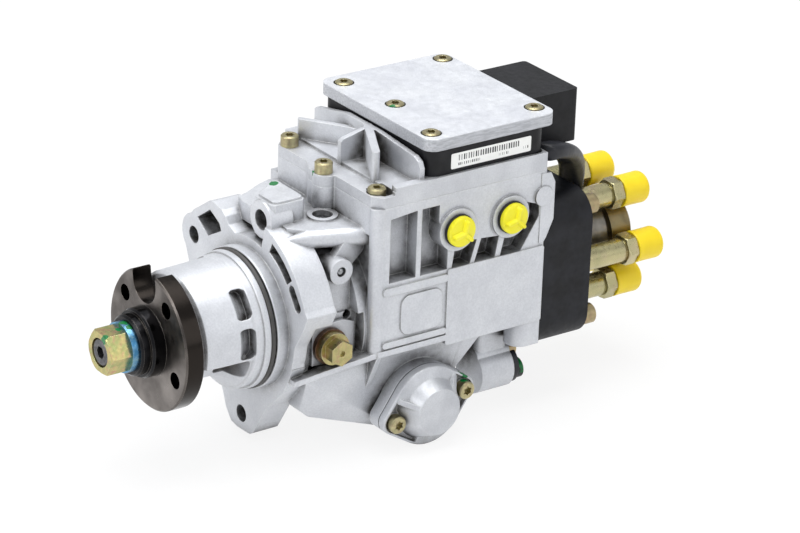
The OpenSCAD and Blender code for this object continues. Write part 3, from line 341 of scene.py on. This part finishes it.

# %% [markdown]
# ## Black parts, rubber and bright plastic
#
# The distributor head is black-coated steel with a fine powdery texture. The frame of the control unit, its
# socket and the cable duct are glass-filled plastic: nearly black, with a moulded grain and edges painted paler as
# a highlight. The transport caps are soft polyethylene, so light enters them a little and they have a waxy gloss.

# %% Coatings and plastics
def moulded(name, base, pale, rough, grain_mm, depth_mm, edge_mm=0.4, highlight_part=0.4, gloss=0.5):
    """Moulded or coated surface: faint pale clouds in the colour, pale edges as a painted highlight, and a fine
    grain.
    """
    made = finish(name)
    tree, place = made.tree, made.place
    rounded, edge = soft_edges(tree, edge_mm)
    colour = blend_colour(tree, mottle(tree, place, 9, 3), linear(base), linear(pale))
    # Painted highlight: the edges take on some of the pale tone
    colour = paint_edge_highlight(tree, edge, highlight_part, colour, pale)
    made.shader.inputs["Specular IOR Level"].default_value = gloss
    rough = mottle(tree, place, 2.5, 3, rough - 0.06, rough + 0.08)
    grain = speckle(tree, place, grain_mm, 3, 0.6)
    return dress(made, colour, rough, bump(tree, grain, depth_mm, rounded))


# Blacks that differ in sheen: a powdery coat, a moulded plastic and a smoother hose cover
head_black = moulded("black_coated_steel", "0c0c10", "1a1b21", 0.5, 0.5, 0.03, 0.8, 0.5, 0.3)
plastic_black = moulded("glass_filled_plastic", "0b0b0e", "18181c", 0.48, 0.4, 0.02, 0.5, 0.4, 0.3)
duct_black = moulded("moulded_cable_cover", "101116", "24252c", 0.4, 0.4, 0.015, 1.2, 0.4, 0.4)
# Seals: dull, soft surfaces that hardly reflect the room
rubber_black = moulded("nitrile_rubber", "101011", "1c1c1d", 0.6, 0.6, 0.01)
rubber_grey = moulded("dark_grey_rubber", "3b3a39", "4a4846", 0.5, 0.8, 0.01)
gasket_dark = moulded("coated_gasket", "3a3b3d", "55575a", 0.6, 0.5, 0.02)
# Green solder mask on the board inside the unit
board_green = moulded("solder_mask_board", "0d3a22", "14502e", 0.35, 0.6, 0.01)
# Two waxy yellows, warm on the outlet caps and towards lemon on the port plugs
cap_yellow = moulded("yellow_polyethylene_cap", "e6c800", "ecd014", 0.4, 1.2, 0.015, 0.7, 0.3)
plug_yellow = moulded("lemon_polyethylene_plug", "e8de0c", "eee630", 0.38, 1.2, 0.015, 0.6, 0.3)
for made in (cap_yellow, plug_yellow):
    made.shader.inputs["Subsurface Weight"].default_value = 0.12
    made.shader.inputs["Subsurface Radius"].default_value = (0.004, 0.003, 0.0005)
    made.shader.inputs["Subsurface Scale"].default_value = 1.0

# %% [markdown]
# ## Green lacquer
#
# An inspector dabs green lacquer on joints that must not turn or open again. A dab runs over the edge of a
# piece onto its neighbour, so it is painted in the finish of each piece that it touches, around one spot.

# %% Dabs of lacquer
def paint_dabs(made, spots):
    """Within a wobbly ball around each spot the colour turns green and the surface glossy and unmetallic.
    A spot is a centre and a radius r in mm. Noise adds up to 0.9 r to the distance, and the dab ends at 1.5 r."""
    tree, inputs = made.tree, made.shader.inputs
    wobble = speckle(tree, made.place, 2.5)
    mask = None
    for centre, r in spots:
        ends = {0: made.place, 1: tuple(v*MM for v in centre)}
        away = add(tree, "ShaderNodeVectorMath", ends, operation="DISTANCE").outputs["Value"]
        uneven = calculate(tree, "ADD", away, calculate(tree, "MULTIPLY", wobble, 0.9*r*MM))
        near = between(tree, uneven, 1.5*r*MM, 1.4*r*MM)
        mask = near if mask is None else calculate(tree, "MAXIMUM", mask, near)
    colour, rough = (inputs[key].links[0].from_socket for key in ("Base Color", "Roughness"))
    tree.links.new(blend_colour(tree, mask, colour, linear("0a6b33")), inputs["Base Color"])
    for key, old, new in (("Roughness", rough, 0.25), ("Metallic", inputs["Metallic"].default_value, 0.0)):
        tree.links.new(add(tree, "ShaderNodeMix", {0: mask, 2: old, 3: new}).outputs[0], inputs[key])


lacquered = [
    (housing_cast, [((-8.1, 17.4, 59), 2.6), ((-9.6, 14.8, 58.4), 1.8)]),
    (base_cast, [((2.0, 32.5, 67.5), 1.9), ((2.6, 32.2, 65.4), 1.3)]),
    (screws_zinc, [((2.0, 34.0, 69), 1.9), ((0.8, 77.6, 87), 2.3), ((48.5, 90.2, -35.4), 2.4)]),
    (cover_cast, [((48.0, 90.6, -33.4), 2.2), ((47.6, 88.6, -32.6), 1.6)]),
    (nut_zinc, [((0.6, -71, 11.2), 2.2), ((3.3, -80, 7.0), 1.9), ((4.2, -80, 9.6), 1.5)]),
    (washer_blue, [((-0.1, -68, 11.1), 2.2), ((4.6, -67.5, 12.2), 1.8)]),
    (shaft_steel, [((3.2, -80, 6.4), 1.2)]),
    (zinc_olive, [((33.8, 169.0, 36.0), 2.3)]),
    (duct_black, [((28, 139, -48), 5)]),
]
for made, spots in lacquered:
    paint_dabs(made, spots)
print(sum(len(spots) for made, spots in lacquered), "dabs on", len(lacquered), "finishes")

# %% [markdown]
# ## Finishes onto the solids
#
# Each CAD solid keeps its mesh and gets its finish by its material slot. What isn't named here is ground steel,
# as most moving parts inside such a pump are.

# %% Assign the finishes
finish_of = {
    "housing": housing_cast, "back_cover": housing_cast, "lock_spacer": cover_cast, "unit_base": base_cast,
    "timing_cover": cover_cast, "gallery_plugs": ground_steel, "unit_lid": lid_cast, "timing_gasket": gasket_dark,
    "cover_screws": screws_zinc, "unit_screws": screws_zinc, "shaft_nut": nut_zinc, "lock_bolt": zinc_yellow,
    "solenoid_screw": zinc_tan, "head_bolts": head_screws, "outlet_holders": zinc_olive, "valve_body": valve_steel,
    "valve_cap": zinc_gold, "spring_washer": washer_blue, "drive_hub": hub_steel, "drive_shaft": shaft_steel,
    "head_flange": head_black, "unit_frame": plastic_black, "connector": plastic_black, "cable_duct": duct_black,
    "timing_solenoid": duct_black, "angle_sensor": plastic_black, "circuit_board": board_green,
    "pilot_ring": rubber_grey, "port_seals": rubber_black, "shaft_seal": rubber_black,
    "lock_washer": copper_washer, "front_bush": bush_bronze, "outlet_caps": cap_yellow, "port_plugs": plug_yellow,
}
for name, solid in nodes.items():
    solid.data.materials.clear()
    solid.data.materials.append(finish_of.get(name, ground_steel).mat)
print(len(nodes), "solids finished,", len(finish_of), "by name, the rest in ground steel")

# %% [markdown]
# ## Outlets and their caps
#
# An outlet is turned from hexagon bar: a lathe leaves a round shank, and a short hexagon with chamfered corners
# stays on it. One surface can describe all of this, because a point is found by its place along the axis and its
# angle: the radius is the profile of the lathe, cut back to the flats of the bar where they lie further in. That
# draws the curved edge of a chamfer by itself. The caps are pushed over the threads and have rounded ends.

# %% Meshes from rows of points
def rows_to_mesh(rows, wrap):
    """rows holds n closed rings of m points. Each quad joins a ring with the next one, and wrap also joins
    the last ring with the first."""
    n, m = rows.shape[:2]
    i, j = np.meshgrid(np.arange(n if wrap else n - 1), np.arange(m), indexing="ij")
    k, l = (i + 1) % n, (j + 1) % m
    return rows.reshape(-1, 3), np.stack([i*m + j, i*m + l, k*m + l, k*m + j], -1).reshape(-1, 4)


def mesh_of(name, points, quads, made):
    """A mesh from points in mm and quads, in one finish."""
    mesh = bpy.data.meshes.new(name)
    mesh.from_pydata((points*MM).tolist(), [], quads.tolist())
    mesh.materials.append(made.mat)
    return mesh


def build_piece(name, parts, made, stands_for, body="housing"):
    """Joins parts of (points, quads) to one mesh, welds poles and seams, turns every face outwards, and keeps
    an edge sharp where its faces meet at more than 32 degrees. The piece takes the place of a CAD node."""
    starts = np.cumsum([0] + [len(points) for points, quads in parts[:-1]])
    points = np.concatenate([points for points, quads in parts])
    quads = np.concatenate([quads + start for (own, quads), start in zip(parts, starts)])
    mesh = mesh_of(name, points, quads, made)
    work = bmesh.new()
    work.from_mesh(mesh)
    bmesh.ops.remove_doubles(work, verts=work.verts, dist=1e-7)
    bmesh.ops.recalc_face_normals(work, faces=work.faces)
    work.to_mesh(mesh)
    work.free()
    mesh.polygons.foreach_set("use_smooth", np.ones(len(mesh.polygons), bool))
    mesh.set_sharp_from_angle(angle=math.radians(32))
    piece = put(name, mesh)
    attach(piece, body)
    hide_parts(stands_for)
    print(name, "has", len(mesh.polygons), "faces")


def turned(profile, centre, out, sides=72, flats=None):
    """Turns (place along Y, radius) about an axis through centre: point = (cx + r cos t, y, cz + r sin t).
    The angle t starts at out. Between the first two values of flats the radius is at most half the third one
    over cos(angle from the middle of a flat), which is a hexagon."""
    turn = np.linspace(0, 2*np.pi, sides, endpoint=False)
    along, radius = np.array(profile, float).T
    radius = np.repeat(radius[:, None], sides, 1)
    if flats:
        low, high, across = flats
        on_hexagon = (along >= low) & (along <= high)
        flat = across/2/np.cos(turn % (np.pi/3) - np.pi/6)
        radius[on_hexagon] = np.minimum(radius[on_hexagon], flat)
    rows = np.stack([centre[0] + radius*np.cos(turn + out), np.repeat(along[:, None], sides, 1),
                     centre[1] + radius*np.sin(turn + out)], -1)
    return rows_to_mesh(rows, wrap=profile[0][1] > 0)


# %% Outlets and caps
end_y = 1000*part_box("outlet_caps")[1].y
low_y, thread_y = (1000*v.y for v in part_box("outlet_holders"))
cap_length, cap_r, fillet = 16, 8.0, 2.9
hexagon_length, across_flats = 6.2, 14
tube_r, neck_r, seat_r, valve_r, bore_r = 6, 5.6, 3.6, 3, 1.2
cap_y = end_y - cap_length
hexagon_y = cap_y - hexagon_length

front_chamfer = [(hexagon_y + 0.25*k, 7.15 + 0.3*k) for k in range(6)]
back_chamfer = [(cap_y - 0.2*k, 7.45 + 0.25*k) for k in range(5)][::-1]
outside = [(low_y, bore_r), (low_y, tube_r), (hexagon_y - 0.9, tube_r), (hexagon_y - 0.9, neck_r),
           (hexagon_y - 0.01, neck_r), *front_chamfer, *back_chamfer, (cap_y + 0.01, tube_r), (thread_y, tube_r)]
inside = [(thread_y, seat_r), (thread_y - 3, bore_r), (low_y + 41, bore_r), (low_y + 41, valve_r),
          (low_y + 4, valve_r), (low_y + 4, bore_r)]

quarter = np.linspace(0, math.pi/2, 10)
rounding = [(end_y - fillet + fillet*math.sin(a), cap_r - fillet + fillet*math.cos(a)) for a in quarter]
cap_profile = [(thread_y + 0.1, 0), (thread_y + 0.1, tube_r + 0.05), (cap_y + 0.1, tube_r + 0.05),
               (cap_y + 0.1, cap_r - 0.3), (cap_y + 0.5, cap_r), (cap_y + 5, cap_r - 0.12),
               (end_y - 5, cap_r - 0.05), *rounding, (end_y - 0.15, 4.6), (end_y - 0.3, 0)]

pitch_r = 28
headings = [math.radians(58 + 60*i) for i in range(6)]
axes = [((pitch_r*math.cos(a), pitch_r*math.sin(a)), a) for a in headings]
fittings = [turned(outside + inside, centre, a, flats=(hexagon_y, cap_y, across_flats)) for centre, a in axes]
build_piece("outlet_fittings", fittings, zinc_olive, "outlet_holders")
caps = [turned(cap_profile, centre, a) for centre, a in axes]
build_piece("outlet_transport_caps", caps, cap_yellow, "outlet_caps", "caps")

# %% [markdown]
# ## Relief pieces
#
# The cover of the timing device and the two port plugs are low reliefs: seen from the front, each place has one
# height. So the face is a height function over a polar grid whose rim follows the outline. The outline of the
# cover is two uneven capsules, and their signed distance gives the rim, the wall around the screw pockets and
# the rounded edge. Walls get a steep slope instead of a jump, which is the draft that a casting has anyway.

# %% Relief over a polar grid
def relief(reach, height, back_x, stem, centre, rings=150):
    """Face points lie at centre + s reach(t) (cos t, sin t) in YZ for s in 0..1, raised along X to height(y, z).
    The back is flat at back_x, with a round stem of radius stem[0] from there to x = stem[1]."""
    turn = np.linspace(0, 2*np.pi, len(reach), endpoint=False)
    heading = np.stack([np.cos(turn), np.sin(turn)], -1)
    s = np.linspace(0, 1, rings)[:, None, None]
    flat = s*reach[:, None]*heading
    face = np.concatenate([height(flat[..., 0], flat[..., 1])[..., None], flat + np.array(centre)], -1)
    face[0] = face[0].mean(0)

    def ring(radius, x):
        return np.column_stack([np.full(len(turn), x), radius*heading + np.array(centre)])[None]

    rim = face[-1:].copy()
    rim[..., 0] = back_x
    rows = np.concatenate([face, rim, ring(stem[0], back_x), ring(stem[0], stem[1]), ring(0.0, stem[1])])
    return rows_to_mesh(rows, wrap=False)


def ramp(value, low, high):
    """0 below low, 1 above high, and a straight slope between."""
    return np.clip((value - low)/(high - low), 0, 1)


# %% Port plugs
plug_r, plug_x, crest_x = 7.5, 51.2, 54.0
arm_length, arm_half = 5.2, 0.9
port_y, port_pitch, port_z = 84, 30.4, 42


def plug_height(y, z):
    """A dome 0.8 mm high with a chamfered rim, and three arms from its middle.
    An arm is a capsule: the crest falls by 0.4 away^2, and past arm_half also by 4 for each mm."""
    r = np.hypot(y, z)
    level = plug_x + 0.8*(1 - (r/plug_r)**2) - 0.5*ramp(r, plug_r - 0.5, plug_r)
    for angle in np.radians([75, 195, 315]):
        along, across = y*np.cos(angle) + z*np.sin(angle), -y*np.sin(angle) + z*np.cos(angle)
        away = np.hypot(across, along - np.clip(along, 0, arm_length))
        level = np.maximum(level, crest_x - 4.0*np.maximum(away - arm_half, 0) - 0.4*away**2)
    return level


plug_reach = np.full(180, plug_r)
plugs = [relief(plug_reach, plug_height, 49.0, (5.4, 38.0), (port_y + port_pitch*i, port_z), 90) for i in (0, 1)]
build_piece("port_transport_plugs", plugs, plug_yellow, "port_plugs", "plugs")

# %% Outline of the timing cover
cover_x, cover_centre, tilt = 44.6, (70, -44.5), math.radians(12)
disc_r, lug_r, lug_out = 20, 6.2, 20


def cover_outline(y, z):
    """Signed distance to a disc that narrows to a lug of radius lug_r on each side, below 0 inside.
    Folded into one quarter, it is an uneven capsule: its straight side touches both circles, so its normal
    has the sine slope = (disc_r - lug_r)/lug_out along the capsule."""
    slope = (disc_r - lug_r)/lug_out
    side = math.sqrt(1 - slope**2)
    u, v = y*math.cos(tilt) + z*math.sin(tilt), -y*math.sin(tilt) + z*math.cos(tilt)
    across, along = np.abs(v), np.abs(u)
    k = along*side - across*slope
    straight = across*side + along*slope - disc_r
    lug = np.hypot(across, along - lug_out) - lug_r
    return np.where(k < 0, np.hypot(u, v) - disc_r, np.where(k > lug_out*side, lug, straight))


# Each spoke is shortened by its distance to the outline until it ends there
spokes = np.linspace(0, 2*np.pi, 420, endpoint=False)
cover_reach = np.full(len(spokes), 30.0)
for step in range(80):
    cover_reach -= cover_outline(cover_reach*np.cos(spokes), cover_reach*np.sin(spokes))
print("cover reaches", round(cover_reach.min(), 1), "to", round(cover_reach.max(), 1), "mm from its middle")

# %% Face of the timing cover
plate, pocket_depth, screw_seat, shoulder, crown = 4.4, 2.3, 3.0, 6.4, 13
rib_crest, rib_half, edge_r = 12.2, 1.3, 0.8


def cover_height(y, z):
    """Levels above the back, each the highest of what stands there: the plate with its sunk pockets, a seat
    under each screw, the shoulder over the upper half, a cone with a flat crown, and two ribs. Last, the rim
    is rounded: the height loses r - sqrt(r^2 - over^2), where over is how far a point is inside the rounding."""
    r, angle, edge = np.hypot(y, z), np.degrees(np.arctan2(z, y)), cover_outline(y, z)
    left, right = ramp(np.abs(angle), 156, 159), ramp(-np.abs(angle), -40, -38)
    lower_left = ramp(-angle, 112, 116)*(angle < 0)
    inside_wall = ramp(-edge, 1.2, 1.7)
    level = plate - pocket_depth*np.maximum(np.maximum(left, right), lower_left)*inside_wall
    for way in (-1, 1):
        seat = np.hypot(y - way*lug_out*math.cos(tilt), z - way*lug_out*math.sin(tilt))
        level = np.maximum(level, screw_seat - 3*np.maximum(seat - 4.6, 0))
    upper = ramp(angle, 38, 41)*ramp(-angle, -162, -159)
    level = np.maximum(level, np.minimum(shoulder, plate + (19.3 - r)*0.47)*upper)
    level = np.maximum(level, np.minimum(crown, shoulder + (15 - r)*1.94))
    for heading in np.radians([160, 41.5]):
        along, across = y*np.cos(heading) + z*np.sin(heading), np.abs(-y*np.sin(heading) + z*np.cos(heading))
        rib = np.minimum(rib_crest, 12.6 - (along - 11.6)*1.05) - 5*np.maximum(across - rib_half, 0)
        level = np.where((along > 5) & (along < 19.4), np.maximum(level, rib), level)
    over = np.clip(edge_r + edge, 0, edge_r)
    return cover_x + level - edge_r + np.sqrt(np.maximum(edge_r**2 - over**2, 0))


cover = relief(cover_reach, cover_height, cover_x, (11, 51.1), cover_centre)
build_piece("timing_cover_casting", [cover], cover_cast, "timing_cover")

# %% [markdown]
# ## Cable duct
#
# The duct is a rounded plastic hose cover that leaves the unit to the rear, bends down and ends on the valve.
# A section carried along a curve is the natural way to make it: the curve is a Bezier curve over a few points,
# and the section is a superellipse, which is flatter than an ellipse and rounder than a rectangle.

# %% Duct
def swept(points, across, half, sides=56, steps=60, end_mm=3):
    """path(s) = sum of C(n,k) s^k (1-s)^(n-k) P_k, and around it lies the ring
    a |cos|^(2/3) across + b |sin|^(2/3) up, which shrinks to a point over the last end_mm."""
    points, n = np.array(points, float), len(points) - 1
    s = (1 - np.cos(np.linspace(0, np.pi, steps)))/2
    weights = np.stack([math.comb(n, k)*s**k*(1 - s)**(n - k) for k in range(n + 1)], 1)
    path = weights @ points
    up = np.cross(np.gradient(path, axis=0), across)
    up /= np.linalg.norm(up, axis=1)[:, None]
    walked = np.concatenate([[0], np.cumsum(np.linalg.norm(np.diff(path, axis=0), axis=1))])
    to_end = np.minimum(walked, walked[-1] - walked)
    scale = np.sqrt(np.clip(1 - (1 - np.clip(to_end/end_mm, 0, 1))**2, 0, 1))[:, None, None]
    turn = np.linspace(0, 2*np.pi, sides, endpoint=False)[None, :, None]
    a, b = (np.sign(f(turn))*np.abs(f(turn))**(2/3) for f in (np.cos, np.sin))
    rows = path[:, None] + scale*(half[0]*a*np.array(across) + half[1]*b*up[:, None])
    print("the duct is", round(walked[-1]), "mm long")
    return rows_to_mesh(rows, wrap=False)


duct_points = [(38, 136.5, 66), (38, 147, 67), (33, 160, 63), (20, 172, 50), (6, 184, 38), (1, 185, 26), (1, 185, 16)]
duct = swept(duct_points, across=(0.8, 0.6, 0), half=(6.4, 4.2))
build_piece("cable_duct_moulding", [duct], duct_black, "cable_duct")

# %% [markdown]
# ## The label
#
# A white paper label sticks on the black frame. It is a thin raised sheet with round corners, and its bars are
# plain stripes that say nothing. Each stripe starts at an even step along the label, and one random number for
# each step says how wide it is.

# %% Paper and print
def paper_label():
    """White paper with faint fibres, and four fields of dark bars."""
    made = finish("printed_paper_label")
    tree = made.tree
    xyz = add(tree, "ShaderNodeSeparateXYZ", {0: made.place})
    along, height = xyz.outputs[1], xyz.outputs[2]

    def bars(pitch_mm, y_range, z_range, low_share, extra):
        """In each step of pitch_mm the first part is black, as wide as low_share plus a random part of extra."""
        steps = calculate(tree, "MULTIPLY", along, 1/(pitch_mm*MM))
        number = {"W": calculate(tree, "FLOOR", steps)}
        chance = add(tree, "ShaderNodeTexWhiteNoise", number, noise_dimensions="1D").outputs[0]
        width = between(tree, chance, 0, 1, low_share, low_share + extra)
        ink = calculate(tree, "LESS_THAN", calculate(tree, "FRACT", steps), width)
        for value, (low, high) in ((along, y_range), (height, z_range)):
            ink = calculate(tree, "MULTIPLY", ink, calculate(tree, "GREATER_THAN", value, low*MM))
            ink = calculate(tree, "MULTIPLY", ink, calculate(tree, "LESS_THAN", value, high*MM))
        return ink

    ink = bars(1.35, (84.5, 119.5), (75.4, 78.2), 0.28, 0.4)
    for y_range, z_range in (((84.5, 97), (73.0, 74.3)), ((108, 114), (73.0, 74.3)), ((122, 125.2), (73.6, 74.9))):
        ink = calculate(tree, "MAXIMUM", ink, bars(1.1, y_range, z_range, 0.1, 0.55))
    colour = blend_colour(tree, ink, linear("f1f1ee"), linear("26262a"))
    colour = blend_colour(tree, mottle(tree, made.place, 3, 3, 0.0, 0.1), colour, linear("c9c9c4"))
    tree.links.new(colour, made.shader.inputs["Base Color"])
    made.shader.inputs["Roughness"].default_value = 0.5
    return made


# %% The sheet
def rounded_sheet(name, lo, hi, x, rise, corner, made):
    """A sheet in the YZ plane: rings of one outline, a rectangle of half sizes h with round corners c, which is
    sign(d)(h - c) + c d for each direction d. They shrink towards the middle at x + rise, with a skirt to x."""
    turn = np.linspace(0, 2*np.pi, 64, endpoint=False)
    half, middle = (np.array(hi) - np.array(lo))/2, (np.array(hi) + np.array(lo))/2
    heading = np.stack([np.cos(turn), np.sin(turn)], 1)
    outline = np.sign(heading)*(half - corner) + corner*heading
    rings = [(1.0, x), (1.0, x + rise), (0.97, x + rise), (0.5, x + rise), (0.001, x + rise)]
    rows = [np.column_stack([np.full(len(turn), ring_x), middle + scale*outline]) for scale, ring_x in rings]
    piece = put(name, mesh_of(name, *rows_to_mesh(np.stack(rows), wrap=False), made))
    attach(piece, "housing")
    print(name, "is", 2*half, "mm and", rise, "mm thick")


# Slightly glossy white paper, the brightest thing on the black frame
frame_side_x = 1000*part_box("unit_frame")[1].x
rounded_sheet("frame_label", (80.6, 71.7), (126.5, 79.3), frame_side_x, 0.12, 0.8, paper_label())

# %% [markdown]
# ## The studio
#
# A pale floor under the pump, one large soft light above and two weaker ones at the sides. The world is white
# for the camera, and a plain grey for the light it gives, so that colours render about as they are written.
# The floor adds some white of its own where the camera or a reflection sees it, and the shadow stays on it as a
# faint darkening.

# %% Floor
made = finish("studio_floor")
made.shader.inputs["Base Color"].default_value = linear("f4f4f4")
made.shader.inputs["Roughness"].default_value = 0.9
tree = made.tree
rays = add(tree, "ShaderNodeLightPath")
seen = calculate(tree, "MAXIMUM", rays.outputs["Is Camera Ray"], rays.outputs["Is Glossy Ray"])
seen = calculate(tree, "MAXIMUM", seen, rays.outputs["Is Transmission Ray"])
share = calculate(tree, "MULTIPLY", seen, 0.86)
white = add(tree, "ShaderNodeEmission", {"Color": (1, 1, 1, 1), "Strength": 1.0}).outputs[0]
both = add(tree, "ShaderNodeMixShader", {0: share, 1: made.shader.outputs[0], 2: white}).outputs[0]
tree.links.new(both, tree.nodes["Material Output"].inputs["Surface"])

floor_mesh = bpy.data.meshes.new("studio_floor")
reach, floor_z = 4.0, cad_lo.z - 0.0002
corners = [(-reach, -reach, floor_z), (reach, -reach, floor_z), (reach, reach, floor_z), (-reach, reach, floor_z)]
floor_mesh.from_pydata(corners, [], [(0, 1, 2, 3)])
floor_mesh.materials.append(made.mat)
floor = put("studio_floor", floor_mesh)
floor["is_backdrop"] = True
print("floor at z", round(1000*floor_z, 1), "mm")

# %% World
world = bpy.data.worlds.new("studio")
bpy.context.scene.world = world
bpy.context.scene.view_settings.view_transform = "Standard"
world.use_nodes = True
tree = world.node_tree
tree.nodes.clear()
rays = add(tree, "ShaderNodeLightPath")
seen = calculate(tree, "MAXIMUM", rays.outputs["Is Camera Ray"], rays.outputs["Is Transmission Ray"])
plain = add(tree, "ShaderNodeBackground", {"Color": (0.95, 0.97, 1.0, 1), "Strength": 0.58}).outputs[0]
white = add(tree, "ShaderNodeBackground", {"Color": (1, 1, 1, 1), "Strength": 1.0}).outputs[0]
both = add(tree, "ShaderNodeMixShader", {0: seen, 1: plain, 2: white}).outputs[0]
add(tree, "ShaderNodeOutputWorld", {"Surface": both})

# %% Lamps
def softbox(name, position, size, watts):
    """A square lamp that faces the middle of the pump."""
    data = bpy.data.lights.new(name, "AREA")
    data.size = size
    data.energy = watts
    aim = Vector((0, 0.05, 0.02)) - Vector(position)
    facing = aim.to_track_quat("-Z", "Y").to_matrix().to_4x4()
    put(name, data).matrix_world = Matrix.Translation(position) @ facing
    print(name, round(aim.length, 2), "m away,", watts, "W")


softbox("overhead_softbox", (-0.05, 0.05, 1.1), 0.9, 13)
softbox("side_softbox", (1.1, 0.5, 0.5), 0.8, 2.1)
softbox("front_softbox", (-0.1, -1.2, 0.6), 0.7, 8)
